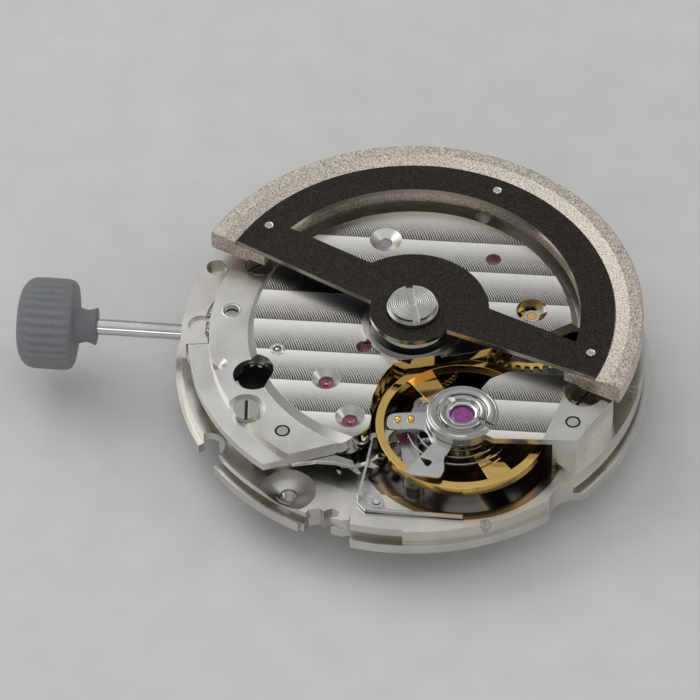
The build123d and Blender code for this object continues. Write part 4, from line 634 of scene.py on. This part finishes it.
def make_crown():
    """Grey knob with rounded ribs that run out at both rims, and its waisted neck."""
    ribs, steps_per_rib, rib_depth, rib_flatness = 30, 12, 0.14, 0.7
    # Distance from the outer face, radius, and share of the ribs' depth there
    line = (
        (0, 0.02, 0), (0, 0.9, 0), (0.02, 1.5, 0), (0.11, 1.85, 0), (0.26, 2.12, 0.15),
        (0.46, 2.32, 0.5), (0.68, 2.45, 0.85), (0.96, 2.51, 1), (1.46, 2.52, 1), (2.06, 2.52, 1),
        (2.61, 2.51, 1), (2.84, 2.46, 0.8), (3.0, 2.36, 0.4), (3.09, 2.22, 0.1), (3.12, 2.05, 0),
        (3.12, 1.25, 0), (3.16, 1.1, 0), (3.31, 1.0, 0), (3.66, 0.9, 0), (3.86, 0.89, 0),
        (4.11, 0.98, 0), (4.24, 1.04, 0), (4.28, 1.0, 0), (4.28, 0.47, 0),
    )
    bm = bmesh.new()
    steps = ribs * steps_per_rib
    rows = []
    for inward, r, share in line:
        row = []
        for k in range(steps):
            wave = 0.5 + 0.5 * math.cos(2 * math.pi * k / steps_per_rib)
            out = r - rib_depth * share * (1 - wave ** rib_flatness)
            turn = 2 * math.pi * k / steps
            y, z = out * math.cos(turn), out * math.sin(turn)
            row.append(vertex(bm, crown_end_x + inward, y, stem_z + z))
        rows.append(row)
    skin(bm, rows)
    bm.faces.new(rows[0])
    piece = finish_mesh("ribbed_crown", bm, "crown", "crown_stem", 50)
    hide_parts("crown")


def make_cock_ring():
    """Grooved steel ring on the end of the balance cock, split at its lower right."""
    collar = (
        (0.94, 0), (0.94, 0.08), (0.98, 0.13), (1.04, 0.15),
        (1.16, 0.15), (1.22, 0.12), (1.25, 0.06), (1.25, 0),
    )
    band = (
        (1.33, 0), (1.34, 0.07), (1.39, 0.12), (1.46, 0.14), (1.7, 0.14), (1.74, 0.12),
        (1.77, 0.07), (1.8, 0.06), (1.84, 0.08), (1.9, 0.07), (1.94, 0.03), (1.94, 0),
    )
    bm = bmesh.new()
    for start_deg, end_deg in ((-18, 118), (134, 326)):
        turned_ring(bm, balance_at, lifted(collar, cock_z), 72, start_deg, end_deg)
    turned_ring(bm, balance_at, lifted(band, cock_z), 120, start_deg=-22, end_deg=326)
    finish_mesh("cock_ring", bm, "ring_steel", "plate")


def make_shock_setting():
    """Eight-sided bezel that holds the cap jewel, and the spring ring of the lower setting."""
    sides, steps = 8, 96
    in_r, flat_r, chamfer = 0.66, 0.86, 0.06
    half_side = math.pi / sides
    bm = bmesh.new()
    rows = []
    for i in range(steps):
        turn = 2 * math.pi * i / steps
        fold = (turn + half_side) % (2 * half_side) - half_side
        out_r = flat_r / math.cos(fold)
        profile = (
            (in_r, 0), (in_r, 0.08), (in_r + 0.04, 0.12),
            (out_r - chamfer, 0.14), (out_r, 0.09), (out_r, 0),
        )
        rows.append(spoke(bm, balance_at, lifted(profile, bezel_z), turn))
    skin(bm, rows, closed=True)
    lower_ring = ((0.72, 0.9), (0.87, 0.9), (0.87, 0.96), (0.72, 0.96))
    turned_ring(bm, balance_at, lower_ring, 64, start_deg=120, end_deg=420)
    piece = finish_mesh("shock_setting", bm, "bright", "plate")
    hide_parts("shock_springs")


def make_clamp_threads():
    """Turns of thread in the two holes for the case clamps."""
    steps, turns, pitch, first_z = 36, 5, 0.15, 0.11
    thread = ((0.405, -0.06), (0.335, 0.0), (0.405, 0.06))
    bm = bmesh.new()
    for side in (-1, 1):
        at = (clamp_at[0] * side, clamp_at[1] * side)
        rows = []
        for i in range(steps * turns + 1):
            profile = lifted(thread, first_z + pitch * i / steps)
            rows.append(spoke(bm, at, profile, 2 * math.pi * i / steps))
        skin(bm, rows)
        cap(bm, rows)
    finish_mesh("clamp_threads", bm, "steel", "plate")


def make_cover_lever():
    """Slim steel lever between the plate and the bridge's front edge."""
    outline = (
        (-7.6, -8.35), (-6.6, -9.25), (-5.6, -9.3), (-4.4, -9.0), (-3.4, -8.98), (-2.45, -9.2),
        (-2.4, -8.8), (-3.3, -8.5), (-4.4, -8.35), (-5.6, -8.3), (-6.6, -8.1), (-7.4, -7.8),
    )
    bm = bmesh.new()
    slab(bm, outline, low_z=2.2, high_z=2.46, bevel=0.06)
    finish_mesh("cover_lever", bm, "bright", "plate")


def make_rivet_rings():
    """Peened rims of the three rivets that hold the weight to the rotor's plate."""
    rim = ((0.12, -0.01), (0.15, 0.03), (0.2, 0.04), (0.235, 0.01), (0.24, -0.01))
    bm = bmesh.new()
    for deg in rivet_degs:
        turned_ring(bm, polar(rivet_at_r, rotor_deg + deg), lifted(rim, rivet_z), 40)
    finish_mesh("rivet_rims", bm, "bright", "rotor")


def arm_plate(bm, line, low_z, high_z, end_deg, steps, windows=()):
    """A ring about the balance's axis, with an arm whose edge runs out and back along the line."""
    hole_steps = 72
    step_deg = 360 / hole_steps
    outer = at_balance(arc(arm_ring_r, arm_start_deg, end_deg, steps) + line)
    inner = at_balance(arc(arm_hole_r, 0, 360 - step_deg, hole_steps - 1))
    pierced(bm, (outer, inner, *windows), low_z, high_z)


def make_stud_arm():
    """Arm that holds the hairspring's stud, drawn in one with its ring, and its two gilt pins."""
    line = (
        (-2.1, 0.43), (-3.8, 0.19), (-4.02, -0.1), (-3.98, -0.8), (-3.7, -0.98), (-2.45, -0.78),
        (-2.0, -0.85), (-1.72, -1.15), (-1.6, -1.6), (-1.25, -2.0), (-0.8, -2.1), (-0.45, -1.98),
    )
    stud_r = 0.14
    dome_r, dome_top_z, dome = 0.2, 3.44, 0.14
    stud_at, *dome_ats = at_balance(((-3.12, -0.55), (-3.43, -0.27), (-2.73, -0.17)))
    bm = bmesh.new()
    arm_plate(bm, softened(line), stud_arm_z, stud_arm_top_z, end_deg=526, steps=64)
    pin(bm, stud_at, stud_r, stud_low_z, stud_arm_z + let_in)
    piece = finish_mesh("stud_arm", bm, "arm_steel", "stud_ring")
    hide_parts("stud_carrier")

    bm = bmesh.new()
    for at in dome_ats:
        pin(bm, at, dome_r, stud_arm_top_z - let_in, dome_top_z, dome)
    piece = finish_mesh("stud_domes", bm, "gilt", "stud_ring", 40)
    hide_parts("stud_pins")


def make_regulator_arm():
    """Regulator with its pierced pad and the two curb pins beside the spring's outer turn."""
    line = (
        (-1.33, -1.75), (-1.79, -2.52), (-2.43, -3.49), (-2.72, -4.0), (-2.45, -4.18),
        (-1.52, -4.22), (-0.8, -4.25), (-0.62, -3.75), (-0.74, -2.9), (-0.5, -2.4), (-0.37, -1.95),
    )
    window = ((-2.0, -2.95), (-1.57, -3.66), (-1.24, -3.13), (-2.0, -2.95))
    windows = (at_balance(softened(window, 1)[:-1]),)
    curb_pin_r, curb_pin_deg, curb_pin_at_rs = 0.05, 244, (2.827, 3.067)
    bm = bmesh.new()
    line = softened(line, 1)
    arm_plate(bm, line, regulator_z, regulator_top_z, end_deg=562.67, steps=82, windows=windows)
    for at_r in curb_pin_at_rs:
        at = polar(at_r, curb_pin_deg, balance_at)
        pin(bm, at, curb_pin_r, curb_pin_low_z, regulator_z + let_in, steps=16)
    piece = finish_mesh("regulator_arm", bm, "arm_steel", "regulator_body")
    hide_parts("regulator")


def make_fittings():
    """Bushing with its pin, the step in the large hole and the rim of the plain hole."""
    bushing = ((0.2, 0), (0.2, 0.08), (0.26, 0.12), (0.36, 0.12), (0.42, 0.08), (0.43, 0))
    pin_r, pin_low_z, pin_stand, pin_dome = 0.13, 3.6, 0.1, 0.05
    step = ((0.8, 2.92), (0.84, 3.0), (1.095, 3.0), (1.095, 2.92))
    rim = ((0.415, 0), (0.43, 0.03), (0.48, 0.04), (0.54, 0.03), (0.56, 0))
    bm = bmesh.new()
    turned_ring(bm, bushed_hole_at, lifted(bushing, bushing_z), 48)
    pin(bm, bushed_hole_at, pin_r, pin_low_z, bushing_z + pin_stand, pin_dome)
    turned_ring(bm, large_hole_at, step, 48, start_deg=195, end_deg=350)
    turned_ring(bm, plain_hole_at, lifted(rim, hole_rim_z), 48)
    finish_mesh("bridge_fittings", bm, "bright", "plate")


def make_painted_shade():
    """Thin dark sheets of painted shade: round the two steady pins and at the bottoms of the
    screws' slots.
    """
    thickness, in_r, out_r = 0.02, 0.305, 0.415
    half_slot, half_slot_w = 0.7, 0.075
    shade_ring = ((in_r, 0), (out_r, 0), (out_r, thickness), (in_r, thickness))
    bm = bmesh.new()
    # Painted shade round the steady pins, then in the screws' slots.
    for at, z in steady_pins:
        turned_ring(bm, at, lifted(shade_ring, z), 48)
    for at, z, deg in screw_slots:
        along = Vector(polar(1, deg)) * half_slot
        side = along.orthogonal().normalized() * half_slot_w
        offsets = (along + side, side - along, -along - side, along - side)
        slab(bm, [Vector(at) + offset for offset in offsets], z, z + thickness)
    finish_mesh("painted_shade_sheets", bm, "painted_shade", "plate")


make_crown()
make_cock_ring()
make_shock_setting()
make_clamp_threads()
make_cover_lever()
make_rivet_rings()
make_stud_arm()
make_regulator_arm()
make_fittings()
make_painted_shade()


# Stage, light and camera, in metres

def area_light(name, place, size, watts):
    """A soft rectangular lamp that looks at the middle of the movement."""
    data = bpy.data.lights.new(name, "AREA")
    data.shape = "RECTANGLE"
    data.size, data.size_y = size
    data.energy = watts
    lamp = bpy.data.objects.new(name, data)
    bpy.context.scene.collection.objects.link(lamp)
    lamp.location = place
    lamp.rotation_euler = (-Vector(place)).to_track_quat("-Z", "Y").to_euler()


def make_stage():
    half = 1.5
    low = cad_box[0][2]
    square = [(-half, -half, low), (half, -half, low), (half, half, low), (-half, half, low)]
    mesh = bpy.data.meshes.new("floor")
    mesh.from_pydata(square, [], [(0, 1, 2, 3)])
    floor = bpy.data.objects.new("floor", mesh)
    bpy.context.scene.collection.objects.link(floor)
    made = Finish("floor_pale", (0.72, 0.715, 0.7), Roughness=0.6)
    dark, light = (0.7, 0.695, 0.68), (0.74, 0.735, 0.72)
    cloud = made.noise(0.4, detail=3.0)
    made.color(made.ramp(cloud, ((cloud_low, dark), (cloud_high, light))))
    mesh.materials.append(made.material)


def make_world():
    """A grey studio, lighter overhead."""
    stops = ((0.5, (0.36, 0.36, 0.365)), (0.8, (0.34, 0.34, 0.345)), (1.0, (0.75, 0.75, 0.75)))
    world = bpy.data.worlds.new("studio")
    bpy.context.scene.world = world
    world.use_nodes = True
    tree = world.node_tree
    coords = tree.nodes.new("ShaderNodeTexCoord")
    split = tree.nodes.new("ShaderNodeSeparateXYZ")
    height = tree.nodes.new("ShaderNodeMapRange")
    height.inputs["From Min"].default_value = -1
    ramp = tree.nodes.new("ShaderNodeValToRGB")
    points = ramp.color_ramp.elements
    points.new(0.8)
    for point, (place, color) in zip(points, stops):
        point.position = place
        point.color = (*color, 1)
    tree.links.new(coords.outputs["Generated"], split.inputs[0])
    tree.links.new(split.outputs[2], height.inputs["Value"])
    tree.links.new(height.outputs[0], ramp.inputs[0])
    tree.links.new(ramp.outputs[0], tree.nodes["Background"].inputs["Color"])


def make_camera():
    """The camera that the photograph's frame of 700 pixels was fitted with."""
    place = Vector((17.530, -191.411, 211.566)) * MM
    aim = Vector((-3.305, -1.341, 3.0)) * MM
    right = Vector((0.99517, 0.09759, -0.01048))
    up = Vector((-0.06489, 0.73433, 0.67569))
    focal_px, frame_px, sensor = 5207.5, 700, 36
    data = bpy.data.cameras.new("camera")
    data.sensor_width = sensor
    data.lens = sensor * focal_px / frame_px
    data.clip_start = 0.01
    camera = bpy.data.objects.new("camera", data)
    bpy.context.scene.collection.objects.link(camera)
    turn = Matrix((right, up, (place - aim).normalized())).transposed()
    camera.matrix_world = Matrix.Translation(place) @ turn.to_4x4()
    bpy.context.scene.camera = camera


make_stage()
make_world()
make_camera()
area_light("key", (-0.26, 0.2, 0.36), (0.4, 0.24), 0.5)
area_light("fill", (0.4, 0.05, 0.3), (0.2, 0.4), 0.22)
area_light("front", (-0.1, -0.42, 0.16), (0.5, 0.12), 0.3)

scene = bpy.context.scene
scene.view_settings.view_transform = "Standard"
